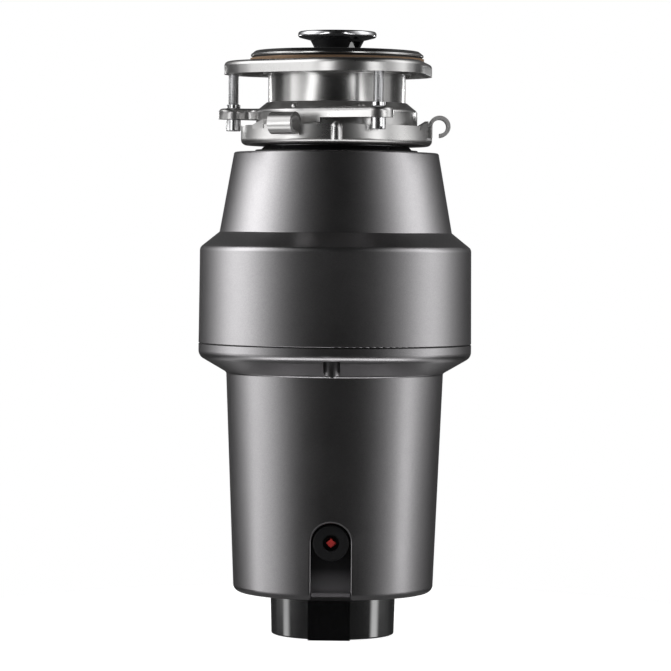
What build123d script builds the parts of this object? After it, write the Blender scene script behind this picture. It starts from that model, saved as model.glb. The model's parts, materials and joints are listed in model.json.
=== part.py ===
from build123d import *
from math import acos, atan2, cos, degrees, radians, sin
import os

# A food waste disposer that hangs under a sink by a three-screw mount.
# Millimetres, +Z up, the front towards -Y, the origin under the middle of the foot.

# Clearances
fit_gap = 0.2                  # between fixed round pieces
turn_gap = 0.05                # round the shaft in its bushes and seal
pass_gap = 0.3                 # between pieces that move past each other
hole_gap = 0.3                 # round a screw in its hole
room_gap = 1.0                 # round a pipe or a neck in a sheet opening

# Foot, which is also the cover of the wiring box
foot_height = 27.6
foot_bottom_radius = 39.8
foot_top_radius = 40.6
foot_wall = 2.5
foot_boss_width = 27.0
foot_boss_reach = 3.3
foot_boss_drop = 0.5
foot_boss_shift = 1.4
foot_plate_thickness = 3.2
foot_post_radius = 5.0
foot_post_sink = 1.0
foot_screw_count = 3
foot_screw_angle = 30.0
foot_screw_radius = 1.8
foot_screw_head_radius = 3.2
foot_screw_head_height = 1.6
foot_screw_sink = 0.4
foot_screw_length = 14.0

# Cable inlet at the back of the foot
inlet_height = 13.0
inlet_hole_radius = 8.0
cable_bore_radius = 4.25
grommet_depth = 6.0
grommet_flange_radius = 10.0
grommet_flange_thickness = 2.0

# Terminal block and earth screw
terminal_width = 26.0
terminal_depth = 14.0
terminal_height = 13.0
terminal_hole_radius = 2.0
ground_screw_place = 23.0
ground_screw_radius = 1.8
ground_screw_head_radius = 4.0
ground_screw_head_height = 2.2

# Lower housing
housing_wall = 2.2
lower_height = 160.8
lower_draft = 5.7
lower_corner = 4.4
inner_corner = 1.0
lower_floor_hole_radius = 20.0
band_bottom_radius = 88.6
lip_height = 7.9
lip_rounding = 6.0
undercut_height = 10.5
undercut_depth = 18.1
undercut_fillet = 1.6
housing_flange = 2.5
ledge_drop = 16.4
ledge_height = 4.0
ledge_width = 4.5

# Screws under the lip that join the two housings
pocket_radius = 5.35
pocket_wall = 2.0
pocket_roof = 4.4
pocket_slot_drop = 8.2
housing_screw_count = 4
housing_screw_radius = 2.0
housing_screw_head_radius = 4.2
housing_screw_head_height = 3.2
housing_screw_grip = 5.0
housing_boss_roof = 1.0
housing_boss_radius = 4.8

# Seam
seal_thickness = 0.6
seal_width = 5.0
seal_inset = 1.0

# Upper housing
upper_height = 123.7
band_height = 61.8
band_edge = 0.5
band_draft = 0.5
shoulder_height = 10.2
shoulder_rounding = 4.0
shoulder_width = 12.7
cone_draft = 9.1
plate_seat = 1.5
top_rounding = 1.5

# Reset niche at the front
niche_height = 36.9
niche_edge = 1.2
niche_half_width = 12.6
panel_thickness = 2.5
panel_setback = 3.0
panel_overlap = 2.0
panel_shelf_height = 3.0
panel_shelf_thickness = 2.0
panel_shelf_reach = 4.2
bezel_radius = 11.6
bezel_bore_radius = 5.2
bezel_depth = 4.8
bezel_rounding = 1.2

# Reset button, a small square plunger turned on its corner
button_half_diagonal = 3.0
button_recess = 1.0
button_collar_radius = 4.4
button_collar_thickness = 1.4
button_travel_room = 4.0
spring_outer_radius = 3.6
spring_wire = 1.2
protector_width = 24.0
protector_height = 22.0
protector_depth = 16.0
protector_post_radius = 2.0
protector_post_place = 8.5

# Run capacitor on the housing floor
capacitor_radius = 15.0
capacitor_height = 42.0
capacitor_place = 34.0
capacitor_tab_height = 5.0

# Motor
motor_floor_height = 54.4
end_frame_thickness = 6.0
stator_room = 3.8
frame_rim_width = 9.5
lower_rim_height = 16.0
upper_rim_height = 12.0
air_gap = 0.5
rotor_radius = 30.0
stator_slot_depth = 8.0
stator_slot_count = 24
stator_slot_width = 3.2
winding_height = 9.0
winding_wall = 15.0
end_ring_height = 6.0
end_ring_inner_radius = 18.0
end_ring_inset = 1.0
shaft_radius = 6.0
shaft_end_radius = 5.0
shaft_tail = 4.0
bush_wall = 4.0
bush_length = 14.0
hub_wall = 4.0
motor_bolt_radius = 2.0
motor_bolt_head_radius = 3.8
motor_bolt_head_height = 3.0
motor_bolt_count = 4

# Drain chamber, with its outlet at the back
chamber_step = 2.4
chamber_wall = 3.0
chamber_skirt_height = 15.0
chamber_floor_thickness = 4.0
chamber_height = 58.5
chamber_flange_width = 6.0
chamber_flange_height = 8.0
outlet_bore_radius = 18.5
outlet_wall = 2.5
outlet_reach = 2.5
outlet_flange_radius = 24.5
outlet_flange_thickness = 4.0
outlet_ear_radius = 7.0
outlet_ear_place = 31.0
seal_hub_wall = 2.5
seal_wall = 5.5
shaft_seal_height = 8.0
slinger_radius = 15.0
slinger_thickness = 2.0
slinger_lift = 1.2

# Discharge flange that clamps a tail pipe on the outlet
discharge_gasket_thickness = 2.5
discharge_gasket_wall = 4.8
discharge_flange_thickness = 2.5
discharge_screw_radius = 2.5
discharge_screw_head_radius = 4.3
discharge_screw_head_height = 3.5
discharge_screw_length = 12.0

# Grinding parts
shredder_wall = 3.2
shredder_height = 26.0
shredder_drop = 12.5
shredder_flange_thickness = 1.5
shredder_flange_width = 5.0
shredder_slot_count = 24
shredder_slot_width = 3.0
shredder_slot_height = 9.0
grind_gap = 1.0
turntable_thickness = 3.0
turntable_drop = 5.5
turntable_hub_radius = 11.0
turntable_hub_height = 9.5
turntable_hole_radius = 2.5
turntable_hole_count = 8
lug_thickness = 5.5
lug_pivot_inset = 18.0
lug_root_radius = 8.0
lug_tip_radius = 5.5
lug_tip_place = 9.5
rivet_radius = 3.0
rivet_head_radius = 5.5
rivet_head_height = 1.7
nut_across_flats = 16.0
nut_height = 5.5

# Hopper
hopper_wall = 1.5
hopper_flange_thickness = 2.5
hopper_straight = 24.0
hopper_neck_height = 18.0
hopper_lip_thickness = 2.2
hopper_lip_gap = 4.5
hopper_rounding = 12.0
chamber_screw_count = 4
chamber_screw_radius = 2.0
chamber_screw_head_radius = 3.0
chamber_screw_head_height = 3.0
chamber_screw_length = 9.0
jacket_gap = 0.6

# Sink neck, from which the mount's radii follow
neck_radius = 44.5
neck_wall = 2.2
hopper_neck_inset = 1.5
cushion_reach = 9.5
cushion_flange_thickness = 1.5
cushion_height = 2.5
cushion_bottom_width = 6.0
cushion_top_width = 3.5
cushion_notch_width = 3.0
cushion_notch_depth = 1.5

# Splash guard
guard_thickness = 2.5
guard_hole_radius = 10.0
guard_sag = 7.0
guard_slit_width = 1.2
guard_slit_count = 8
guard_slit_margin = 4.0

# Mounting ring
bell_room = 7.8
bell_wall = 2.2
bell_hole_gap = 0.4
bell_top_width = 0.6
bell_height = 20.3
bell_cone_height = 5.5
bell_cone_width = 5.5
bell_rounding = 3.0
bell_lug_lift = 0.1
bell_lug_thickness = 1.7
bell_lug_spread = 30.0
lug_play = 2.0
plate_drop = 3.8
plate_thickness = 2.5
skirt_height = 7.0
skirt_wall = 2.2
skirt_rounding = 3.0
apron_height = 3.0
apron_start = -50.0
apron_end = -34.0
ear_radius = 9.8
ear_fillet = 6.0
pip_radius = 2.8
pip_inset = 4.2
screw_angle = 174.1
screw_count = 3

# Lock ring with its three curled hooks
ring_room = 7.2
ring_wall = 2.5
ring_height = 12.5
ring_rounding = 3.6
ring_lug_reach = 4.5
ring_lug_thickness = 2.4
hook_angle = 241.3
hook_count = 3
hook_width = 17.0
curl_inner_radius = 4.6
curl_rise = 0.5
curl_root = 7.0
rib_offset = 30.0
rib_radius = 3.7
rib_sink = 0.7
rib_foot = 2.5
rib_rise = 1.8
ramp_start = -30.0
ramp_end = -18.5
ramp_height = 3.4

# Snap ring
snap_wire = 1.5
snap_depth = 0.5
snap_open_angle = 24.0
snap_drop = 5.0

# Mount screws
screw_circle_room = 5.8
screw_radius = 3.5
screw_head_radius = 4.8
screw_head_height = 7.4
screw_slot_width = 1.4
screw_slot_depth = 1.8
clip_radius = 4.4
clip_height = 2.2

# Backup flange and gaskets
flange_gap = 19.2
flange_height = 8.4
flange_plate_thickness = 3.0
flange_wall = 2.5
flange_corner_radius = 45.0
flange_edge = 5.7
flange_rounding = 3.0
flange_hole_gap = 0.8
flange_hub_wall = 2.7
flange_boss_radius = 5.5
flange_top_cover = 0.4
fibre_thickness = 2.0
fibre_overhang = 0.3
travel_gap = 0.1
rim_gasket_thickness = 1.1
rim_gasket_inset = 1.0

# Sink flange
rim_width = 11.5
rim_edge = 1.2
rim_height = 3.6
rim_crown_inset = 3.0
throat_top_inset = 7.0
throat_drop = 4.2
neck_overlap = 4.5

# Stopper
stopper_radius = 25.4
stopper_rim_thickness = 3.8
stopper_rim_rounding = 1.7
stopper_dish = 2.0
stopper_height = 12.9
stem_top_radius = 17.4
stem_waist_radius = 14.0
stem_flare = 6.5
stem_rounding = 8.0
stem_pocket_angle = -41.7
stem_pocket_width = 9.0
stem_pocket_depth = 1.2
stem_pocket_drop = 1.0
plug_thickness = 2.5
stopper_seal_thickness = 2.0

# Heights that follow, from the foot up
body_bottom = foot_height
seam_bottom = body_bottom + lower_height
seam_top = seam_bottom + seal_thickness
body_top = seam_top + upper_height
cushion_top = body_top + cushion_flange_thickness + cushion_height
ring_bottom = cushion_top + pass_gap
ring_floor = ring_bottom + ring_wall
ring_top = ring_bottom + ring_height
lip_bottom = ring_floor + pass_gap
lip_top = lip_bottom + hopper_lip_thickness
guard_top = lip_top + guard_thickness
bell_bottom = guard_top
bell_top = bell_bottom + bell_height
plate_top = bell_top - plate_drop
skirt_bottom = plate_top - skirt_height
clip_bottom = plate_top + pass_gap
flange_bottom = clip_bottom + clip_height + flange_gap + pass_gap
flange_top = flange_bottom + flange_height
fibre_top = flange_top + fibre_thickness
rim_gasket_bottom = fibre_top + travel_gap
rim_bottom = rim_gasket_bottom + rim_gasket_thickness
rim_top = rim_bottom + rim_height
stopper_top = rim_top + stopper_height

# Heights of the motor and the chamber, from the ledge in the lower housing
ledge_top = seam_bottom - ledge_drop
stator_top = ledge_top - upper_rim_height
lower_frame_bottom = body_bottom + motor_floor_height
lower_frame_top = lower_frame_bottom + end_frame_thickness
stator_bottom = lower_frame_top + lower_rim_height
upper_frame_top = ledge_top + end_frame_thickness
lower_bush_bottom = lower_frame_bottom - hub_wall
upper_bush_top = upper_frame_top + 2 * hub_wall
chamber_floor_bottom = upper_frame_top + chamber_skirt_height
chamber_floor_top = chamber_floor_bottom + chamber_floor_thickness
outlet_height = chamber_floor_top + outlet_bore_radius
chamber_top = upper_frame_top + chamber_height
hopper_bottom = chamber_top + shredder_flange_thickness
turntable_top = hopper_bottom - turntable_drop
turntable_bottom = turntable_top - turntable_thickness
lug_bottom = turntable_top + pass_gap
lug_top = lug_bottom + lug_thickness
rivet_top = lug_top + pass_gap + rivet_head_height
shaft_bottom = lower_bush_bottom - shaft_tail
shaft_shoulder = turntable_bottom - turntable_hub_height
nut_top = turntable_top + nut_height
shaft_top = nut_top + 1.5 * pass_gap

# Radii of the mount
bell_radius = neck_radius + bell_room
bell_inner_radius = bell_radius - bell_wall
bell_hole_radius = neck_radius + bell_hole_gap
ring_inner_radius = bell_radius + ring_room
ring_radius = ring_inner_radius + ring_wall
screw_circle = ring_radius + screw_circle_room
hopper_lip_radius = ring_inner_radius - hopper_lip_gap
hopper_neck_radius = neck_radius - hopper_neck_inset
ring_hole_radius = hopper_neck_radius + room_gap
flange_corner_place = screw_circle + flange_edge - flange_corner_radius
neck_bore_radius = neck_radius - neck_wall
rim_radius = neck_radius + rim_width
wing_base_radius = bell_radius - fit_gap
screw_angles = [screw_angle + turn * 360 / screw_count for turn in range(screw_count)]
hook_angles = [hook_angle + turn * 360 / hook_count for turn in range(hook_count)]

# Radii of the body
lower_top_radius = band_bottom_radius - undercut_depth
lower_bottom_radius = lower_top_radius - lower_draft
band_top_radius = band_bottom_radius - band_draft
cone_bottom_radius = band_top_radius - shoulder_width
cone_top_radius = cone_bottom_radius - cone_draft
plate_seat_radius = cone_top_radius - housing_wall
pocket_circle = lower_top_radius + pocket_radius
pocket_boss_radius = pocket_radius + pocket_wall
frame_radius = pocket_circle - pocket_boss_radius - fit_gap
flange_hole_radius = frame_radius + room_gap
chamber_radius = frame_radius - chamber_step
chamber_bore_radius = chamber_radius - chamber_wall
chamber_flange_radius = chamber_radius + chamber_flange_width
hopper_radius = chamber_bore_radius - chamber_step - fit_gap
shredder_radius = hopper_radius - pass_gap
shredder_bore_radius = shredder_radius - shredder_wall
turntable_radius = shredder_bore_radius - grind_gap
lug_pivot_radius = turntable_radius - lug_pivot_inset
chamber_screw_circle = chamber_radius + chamber_flange_width / 2
foot_bore_radius = foot_bottom_radius - foot_wall
foot_post_circle = foot_bore_radius - foot_post_radius + foot_post_sink


def lower_outer_radius(height):
    """Outer radius of the tapered lower wall at a height."""
    rise = seam_bottom - lip_height - undercut_height - body_bottom
    slope = (lower_top_radius - lower_bottom_radius) / rise
    return lower_bottom_radius + slope * (height - body_bottom)


stator_radius = lower_outer_radius(stator_bottom) - housing_wall - stator_room
bolt_circle = stator_radius - frame_rim_width / 2
panel_front = lower_outer_radius(body_bottom) - housing_wall - panel_setback
panel_back = panel_front - panel_thickness
niche_centre = body_bottom + niche_height
bezel_front = panel_front + bezel_depth
collar_front = panel_back - pass_gap
collar_back = collar_front - button_collar_thickness
protector_front = collar_back - button_travel_room
outlet_face = band_top_radius + outlet_reach + outlet_flange_thickness
discharge_flange_back = outlet_face + discharge_gasket_thickness
discharge_face = discharge_flange_back + discharge_flange_thickness


def polar(radius, angle):
    """A point in plan from a radius and an angle in degrees."""
    return (radius * cos(radians(angle)), radius * sin(radians(angle)))


def radial_plane(angle, radius=0.0, height=0.0):
    """A plane through a point in plan, with its x axis pointing outwards and its y axis up."""
    x, y = polar(radius, angle)
    out_x, out_y = polar(1, angle)
    return Plane(origin=(x, y, height), x_dir=(out_x, out_y, 0), z_dir=(out_y, -out_x, 0))


def facing_plane(angle, radius, height):
    """A plane square to a radius, seen from outside, with its y axis up."""
    x, y = polar(radius, angle)
    out_x, out_y = polar(1, angle)
    return Plane(origin=(x, y, height), x_dir=(-out_y, out_x, 0), z_dir=(out_x, out_y, 0))


def half_section(points):
    """Half the section of a round piece, from (radius, height) or (radius, height, rounding)."""
    with BuildSketch(Plane.XZ) as half:
        with BuildLine():
            Polyline(*[point[:2] for point in points], close=True)
        make_face()
        for point in points:
            if len(point) > 2:
                fillet(half.vertices().sort_by_distance(point[:2])[0], radius=point[2])
    return half.sketch


def ring_sector(inner, outer, middle, spread):
    """A piece of a flat ring, round an angle."""
    start = middle - spread / 2
    with BuildSketch() as sector:
        with BuildLine():
            far = CenterArc((0, 0), outer, start, spread)
            near = CenterArc((0, 0), inner, start, spread)
            Line(far @ 0, near @ 0)
            Line(far @ 1, near @ 1)
        make_face()
    return sector.sketch


def save(piece, node):
    """Write a finished piece under its name."""
    piece.part.label = node
    export_step(piece.part, f"parts/{node}.step")


def make_ring(inner, outer, bottom, top):
    """A plain washer, bush or band."""
    with BuildPart() as ring:
        with BuildSketch(Plane.XY.offset(bottom)):
            Circle(outer)
            Circle(inner, mode=Mode.SUBTRACT)
        extrude(amount=top - bottom)
    return ring


# Stopper

throat_bottom = rim_top - throat_drop
throat_slope = (rim_radius - throat_top_inset - neck_bore_radius) / throat_drop
stem_top = stopper_top - stopper_rim_thickness - stopper_dish
stem_waist = stem_top - stem_flare


def make_stopper_cap():
    """Chromed dish on top of the stopper."""
    rim_underside = stopper_top - stopper_rim_thickness
    with BuildPart() as cap:
        revolve(half_section([
            (0, stem_top), (stem_top_radius, stem_top), (stopper_radius, rim_underside, stopper_rim_rounding),
            (stopper_radius, stopper_top, stopper_rim_rounding),
            (stopper_radius - stopper_rim_thickness, stopper_top, stopper_rim_rounding),
            (stopper_radius - 2 * stopper_rim_thickness, stopper_top - stopper_dish), (0, stopper_top - stopper_dish)]),
            axis=Axis.Z)
    return cap


def make_stopper_stem():
    """Moulded trumpet handle with the plug disc at its foot and a pocket in its side."""
    plug_radius = neck_bore_radius - pass_gap
    with BuildPart() as stem:
        revolve(half_section([
            (0, stem_top), (stem_top_radius, stem_top), (stem_waist_radius, stem_waist, stem_rounding),
            (stem_waist_radius, throat_bottom), (plug_radius, throat_bottom),
            (plug_radius, throat_bottom - plug_thickness), (0, throat_bottom - plug_thickness)]), axis=Axis.Z)
        pocket_top = stem_top - stem_pocket_drop
        with BuildSketch(facing_plane(stem_pocket_angle, stem_waist_radius - stem_pocket_depth, pocket_top)):
            Rectangle(stem_pocket_width, stem_flare, align=(Align.CENTER, Align.MAX))
        extrude(amount=stem_top_radius - stem_waist_radius + stem_pocket_depth, mode=Mode.SUBTRACT)
    return stem


def make_stopper_seal():
    """Rubber washer on the plug disc, bevelled like the throat it closes."""
    bore = stem_waist_radius + fit_gap
    edge = neck_bore_radius - fit_gap
    bevel = throat_slope * stopper_seal_thickness
    with BuildPart() as seal:
        revolve(half_section([
            (bore, throat_bottom), (edge, throat_bottom), (edge + bevel, throat_bottom + stopper_seal_thickness),
            (bore, throat_bottom + stopper_seal_thickness)]), axis=Axis.Z)
    return seal


# Sink flange


def make_sink_flange():
    """Drawn steel flange: a rim over the sink, a sloped throat and the neck that hangs below."""
    neck_bottom = guard_top + neck_overlap
    with BuildPart() as flange:
        revolve(half_section([
            (neck_radius, neck_bottom), (neck_radius, rim_bottom), (rim_radius, rim_bottom, rim_edge / 3),
            (rim_radius, rim_bottom + rim_edge, rim_edge / 3), (rim_radius - rim_crown_inset, rim_top, rim_edge),
            (rim_radius - throat_top_inset, rim_top, rim_edge / 2), (neck_bore_radius, throat_bottom),
            (neck_bore_radius, neck_bottom)]), axis=Axis.Z)
        groove_height = bell_top - snap_drop
        with BuildSketch(Plane.XZ):
            with Locations((neck_radius + snap_depth, groove_height)):
                Circle(snap_wire + fit_gap / 2)
        revolve(axis=Axis.Z, mode=Mode.SUBTRACT)
    return flange


def make_snap_ring():
    """Open spring-steel ring in the neck's groove, which carries the mounting ring."""
    with BuildPart() as ring:
        with BuildSketch(Plane.XZ):
            with Locations((neck_radius + snap_depth, bell_top - snap_drop)):
                Circle(snap_wire)
        revolve(axis=Axis.Z, revolution_arc=360 - snap_open_angle)
    return ring


def make_backup_flange():
    """Pressed three-cornered flange that the screws push up against the sink."""
    corner_places = [polar(flange_corner_place, angle) for angle in screw_angles]
    with BuildPart() as flange:
        with BuildSketch(Plane.XY.offset(flange_bottom)):
            with Locations(*corner_places):
                Circle(flange_corner_radius)
            make_hull()
        extrude(amount=flange_height)
        fillet(flange.edges().group_by(Axis.Z)[-1], radius=flange_rounding)
        with BuildSketch(Plane.XY.offset(flange_bottom)):
            with Locations(*corner_places):
                Circle(flange_corner_radius - flange_wall)
            make_hull()
        extrude(amount=flange_height - flange_plate_thickness, mode=Mode.SUBTRACT)
        hole_radius = neck_radius + flange_hole_gap
        with BuildSketch(Plane.XY.offset(flange_bottom)):
            Circle(hole_radius + flange_hub_wall)
            with PolarLocations(screw_circle, screw_count, start_angle=screw_angle):
                Circle(flange_boss_radius)
        extrude(amount=flange_height - flange_plate_thickness)
        with BuildSketch(Plane.XY.offset(flange_bottom)):
            Circle(hole_radius)
            with PolarLocations(screw_circle, screw_count, start_angle=screw_angle):
                Circle(screw_radius + turn_gap)
        extrude(amount=flange_height, mode=Mode.SUBTRACT)
    return flange


# Mounting ring


def wing_outline(base_radius, tip_radius):
    """Plan of the pinwheel plate: each ear runs out on a tangent and comes back in a hollow."""
    lead = degrees(acos((base_radius - tip_radius) / screw_circle))
    hollow_centre = base_radius + ear_fillet
    hollow_reach = tip_radius + ear_fillet
    swing = degrees(acos((hollow_centre**2 + screw_circle**2 - hollow_reach**2) / (2 * hollow_centre * screw_circle)))
    hollow_x, hollow_y = polar(hollow_centre, swing)
    leave = degrees(atan2(hollow_y, hollow_x - screw_circle))
    with BuildSketch() as outline:
        with BuildLine():
            for angle in screw_angles:
                ear = Vector(*polar(screw_circle, angle))
                hollow = Vector(*polar(hollow_centre, angle + swing))
                touch = Vector(*polar(base_radius, angle - lead))
                ear_start = ear + Vector(*polar(tip_radius, angle - lead))
                ear_middle = ear + Vector(*polar(tip_radius, angle + (leave - lead) / 2))
                ear_end = ear + Vector(*polar(tip_radius, angle + leave))
                hollow_middle = hollow + Vector(*polar(ear_fillet, angle + (leave + swing) / 2 - 180))
                base_start = Vector(*polar(base_radius, angle + swing))
                base_sweep = 360 / screw_count - lead - swing
                base_middle = Vector(*polar(base_radius, angle + swing + base_sweep / 2))
                base_end = Vector(*polar(base_radius, angle + swing + base_sweep))
                Line(touch, ear_start)
                ThreePointArc(ear_start, ear_middle, ear_end)
                ThreePointArc(ear_end, hollow_middle, base_start)
                ThreePointArc(base_start, base_middle, base_end)
        make_face()
    return outline.sketch


def make_mounting_ring():
    """Pressed ring: a bell over the neck, a plate with three ears, a skirt and three lugs."""
    outer_outline = wing_outline(wing_base_radius, ear_radius)
    inner_outline = wing_outline(wing_base_radius - skirt_wall, ear_radius - skirt_wall)
    with BuildSketch() as apron_wedges:
        for angle in screw_angles:
            first = polar(2 * screw_circle, angle + apron_start)
            last = polar(2 * screw_circle, angle + apron_end)
            with BuildLine():
                Polyline((0, 0), first, last, close=True)
            make_face()
    cone_bottom = bell_top - bell_cone_height
    cone_bottom_inner = cone_bottom - bell_wall / 2
    cone_top_inner = bell_top - bell_wall * 1.2
    with BuildPart() as ring:
        with BuildSketch(Plane.XY.offset(skirt_bottom)):
            add(outer_outline)
        extrude(amount=skirt_height)
        fillet(ring.edges().group_by(Axis.Z)[-1], radius=skirt_rounding)
        with BuildSketch(Plane.XY.offset(skirt_bottom)):
            add(inner_outline)
        extrude(amount=skirt_height - plate_thickness, mode=Mode.SUBTRACT)
        with BuildSketch(Plane.XY.offset(skirt_bottom)):
            with PolarLocations(screw_circle, screw_count, start_angle=screw_angle):
                Circle(ear_radius - skirt_wall)
        extrude(amount=skirt_height - plate_thickness)
        with BuildSketch(Plane.XY.offset(skirt_bottom - apron_height)):
            add(outer_outline)
            add(inner_outline, mode=Mode.SUBTRACT)
            add(apron_wedges.sketch, mode=Mode.INTERSECT)
        extrude(amount=apron_height + skirt_rounding)
        revolve(half_section([
            (0, bell_bottom), (bell_radius, bell_bottom), (bell_radius, cone_bottom, bell_rounding),
            (bell_hole_radius + bell_top_width, bell_top), (0, bell_top)]), axis=Axis.Z)
        with BuildSketch(Plane.XY.offset(bell_bottom + bell_lug_lift)):
            for angle in hook_angles:
                lug_outer = ring_inner_radius - lug_play
                add(ring_sector(bell_inner_radius + fit_gap, lug_outer, angle + 90, bell_lug_spread))
        extrude(amount=bell_lug_thickness)
        pip_height = plate_top - fit_gap
        with Locations(*[(*polar(bell_radius - pip_inset, angle), pip_height) for angle in pip_angles]):
            Sphere(pip_radius)
        revolve(half_section([
            (0, bell_bottom), (bell_inner_radius, bell_bottom),
            (bell_inner_radius, cone_bottom_inner, bell_rounding - 1),
            (bell_hole_radius, cone_top_inner), (bell_hole_radius, bell_top), (0, bell_top)]),
            axis=Axis.Z, mode=Mode.SUBTRACT)
        with BuildSketch(Plane.XY.offset(skirt_bottom)):
            with PolarLocations(screw_circle, screw_count, start_angle=screw_angle):
                Circle(screw_radius + hole_gap)
        extrude(amount=skirt_height, mode=Mode.SUBTRACT)
    return ring


pip_angles = [screw_angle + 63.7, screw_angle + 115.7, screw_angle - 116.3, screw_angle - 64.3]


def make_mount_screw(angle):
    """Captive screw: a slotted head under the ear and a long thread up into the flange."""
    head_top = skirt_bottom - pass_gap
    thread_top = flange_top - flange_top_cover
    with BuildPart() as screw:
        with BuildSketch(Plane.XY.offset(head_top - screw_head_height)):
            with Locations(polar(screw_circle, angle)):
                Circle(screw_head_radius)
        extrude(amount=screw_head_height)
        with BuildSketch(Plane.XY.offset(head_top)):
            with Locations(polar(screw_circle, angle)):
                Circle(screw_radius)
        extrude(amount=thread_top - head_top)
        with BuildSketch(Plane.XY.offset(head_top - screw_head_height)):
            with Locations(polar(screw_circle, angle)):
                Rectangle(2 * screw_head_radius, screw_slot_width, rotation=angle)
        extrude(amount=screw_slot_depth, mode=Mode.SUBTRACT)
    return screw


def make_screw_clip(angle):
    """Retaining washer on the screw above the plate."""
    with BuildPart() as clip:
        with BuildSketch(Plane.XY.offset(clip_bottom)):
            with Locations(polar(screw_circle, angle)):
                Circle(clip_radius)
                Circle(screw_radius + turn_gap, mode=Mode.SUBTRACT)
        extrude(amount=clip_height)
    return clip


# Lock ring


def make_lock_ring():
    """Steel ring that turns to lock, with lugs inside, ribs outside and three curled hooks."""
    curl_outer_radius = curl_inner_radius + ring_wall
    curl_place = ring_radius + curl_inner_radius
    curl_height = ring_top + curl_rise
    with BuildPart() as ring:
        revolve(half_section([
            (ring_hole_radius, ring_bottom), (ring_radius, ring_bottom, ring_rounding),
            (ring_radius, ring_top), (ring_hole_radius, ring_top)]), axis=Axis.Z)
        for angle in hook_angles:
            rib_base = ring_bottom + rib_foot
            dome_height = ring_top + rib_rise - rib_radius
            with BuildSketch(Plane.XY.offset(rib_base)):
                with Locations(polar(ring_radius - rib_sink, angle + rib_offset)):
                    Circle(rib_radius)
            extrude(amount=dome_height - rib_base)
            with Locations((*polar(ring_radius - rib_sink, angle + rib_offset), dome_height)):
                Sphere(rib_radius)
        revolve(half_section([
            (0, ring_floor), (ring_inner_radius, ring_floor, ring_rounding - ring_wall),
            (ring_inner_radius, ring_top + rib_radius), (0, ring_top + rib_radius)]),
            axis=Axis.Z, mode=Mode.SUBTRACT)
        lug_height = bell_bottom + bell_lug_lift + bell_lug_thickness + pass_gap
        with BuildSketch(Plane.XY.offset(lug_height)):
            for angle in hook_angles:
                lug_inner = ring_inner_radius - ring_lug_reach
                add(ring_sector(lug_inner, ring_inner_radius + fit_gap, angle + 90, bell_lug_spread))
        extrude(amount=ring_lug_thickness)
        for angle in hook_angles:
            with BuildSketch(radial_plane(angle)):
                with BuildLine():
                    outer = CenterArc((curl_place, curl_height), curl_outer_radius, -90, 270)
                    inner = CenterArc((curl_place, curl_height), curl_inner_radius, -90, 270)
                    Line(outer @ 0, inner @ 0)
                    root_outer = (ring_inner_radius, ring_top - curl_root)
                    root_inner = (ring_radius, ring_top - curl_root)
                    Polyline(outer @ 1, root_outer, root_inner, inner @ 1)
                make_face()
            extrude(amount=hook_width / 2, both=True)
            ramp_low = ring_radius * radians(ramp_start)
            ramp_high = ring_radius * radians(ramp_end)
            middle = (ramp_start + ramp_end) / 2
            shift = (ramp_low + ramp_high) / 2
            with BuildSketch(facing_plane(angle + middle, ring_radius, ring_top)):
                with BuildLine():
                    Polyline((ramp_low - shift, -ring_wall), (ramp_low - shift, 0), (ramp_high - shift, ramp_height),
                             (ramp_high - shift, -ring_wall), close=True)
                make_face()
            extrude(amount=-ring_wall)
    return ring


def make_neck_cushion():
    """Rubber cushion round the hopper's neck, on top of the housing."""
    bore = hopper_neck_radius + fit_gap
    flange_top_height = body_top + cushion_flange_thickness
    with BuildPart() as cushion:
        revolve(half_section([
            (bore, body_top), (bore + cushion_reach, body_top), (bore + cushion_reach, flange_top_height, 0.5),
            (bore + cushion_bottom_width, flange_top_height), (bore + cushion_top_width, cushion_top, 0.5),
            (bore, cushion_top)]), axis=Axis.Z)
        for angle in (225, 315, 45, 135):
            with BuildSketch(facing_plane(angle, bore + cushion_bottom_width - cushion_notch_depth, flange_top_height)):
                Rectangle(cushion_notch_width, cushion_height, align=(Align.CENTER, Align.MIN))
            extrude(amount=cushion_reach - cushion_bottom_width, mode=Mode.SUBTRACT)
    return cushion


def make_splash_guard():
    """Rubber baffle clamped over the hopper's lip, with slit flaps that sag to a middle hole."""
    skirt_radius = hopper_neck_radius - hopper_wall - fit_gap
    sag_bottom = lip_top - guard_sag
    with BuildPart() as guard:
        revolve(half_section([
            (guard_hole_radius, sag_bottom), (skirt_radius, lip_top), (hopper_lip_radius, lip_top),
            (hopper_lip_radius, guard_top), (skirt_radius, guard_top),
            (guard_hole_radius, sag_bottom + guard_thickness)]), axis=Axis.Z)
        slit_length = skirt_radius - guard_hole_radius - guard_slit_margin
        with BuildSketch(Plane.XY.offset(sag_bottom)):
            with PolarLocations(guard_hole_radius - room_gap, guard_slit_count):
                Rectangle(slit_length, guard_slit_width, align=(Align.MIN, Align.CENTER))
        extrude(amount=guard_top - sag_bottom, mode=Mode.SUBTRACT)
    return guard


# Housings


def outlet_outline(extra):
    """Plan of the outlet's flange, with two ears for the screws, grown by a margin."""
    with BuildSketch() as outline:
        Circle(outlet_flange_radius + extra)
        with Locations((-outlet_ear_place, 0), (outlet_ear_place, 0)):
            Circle(outlet_ear_radius + extra)
        make_hull()
    return outline.sketch


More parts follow.
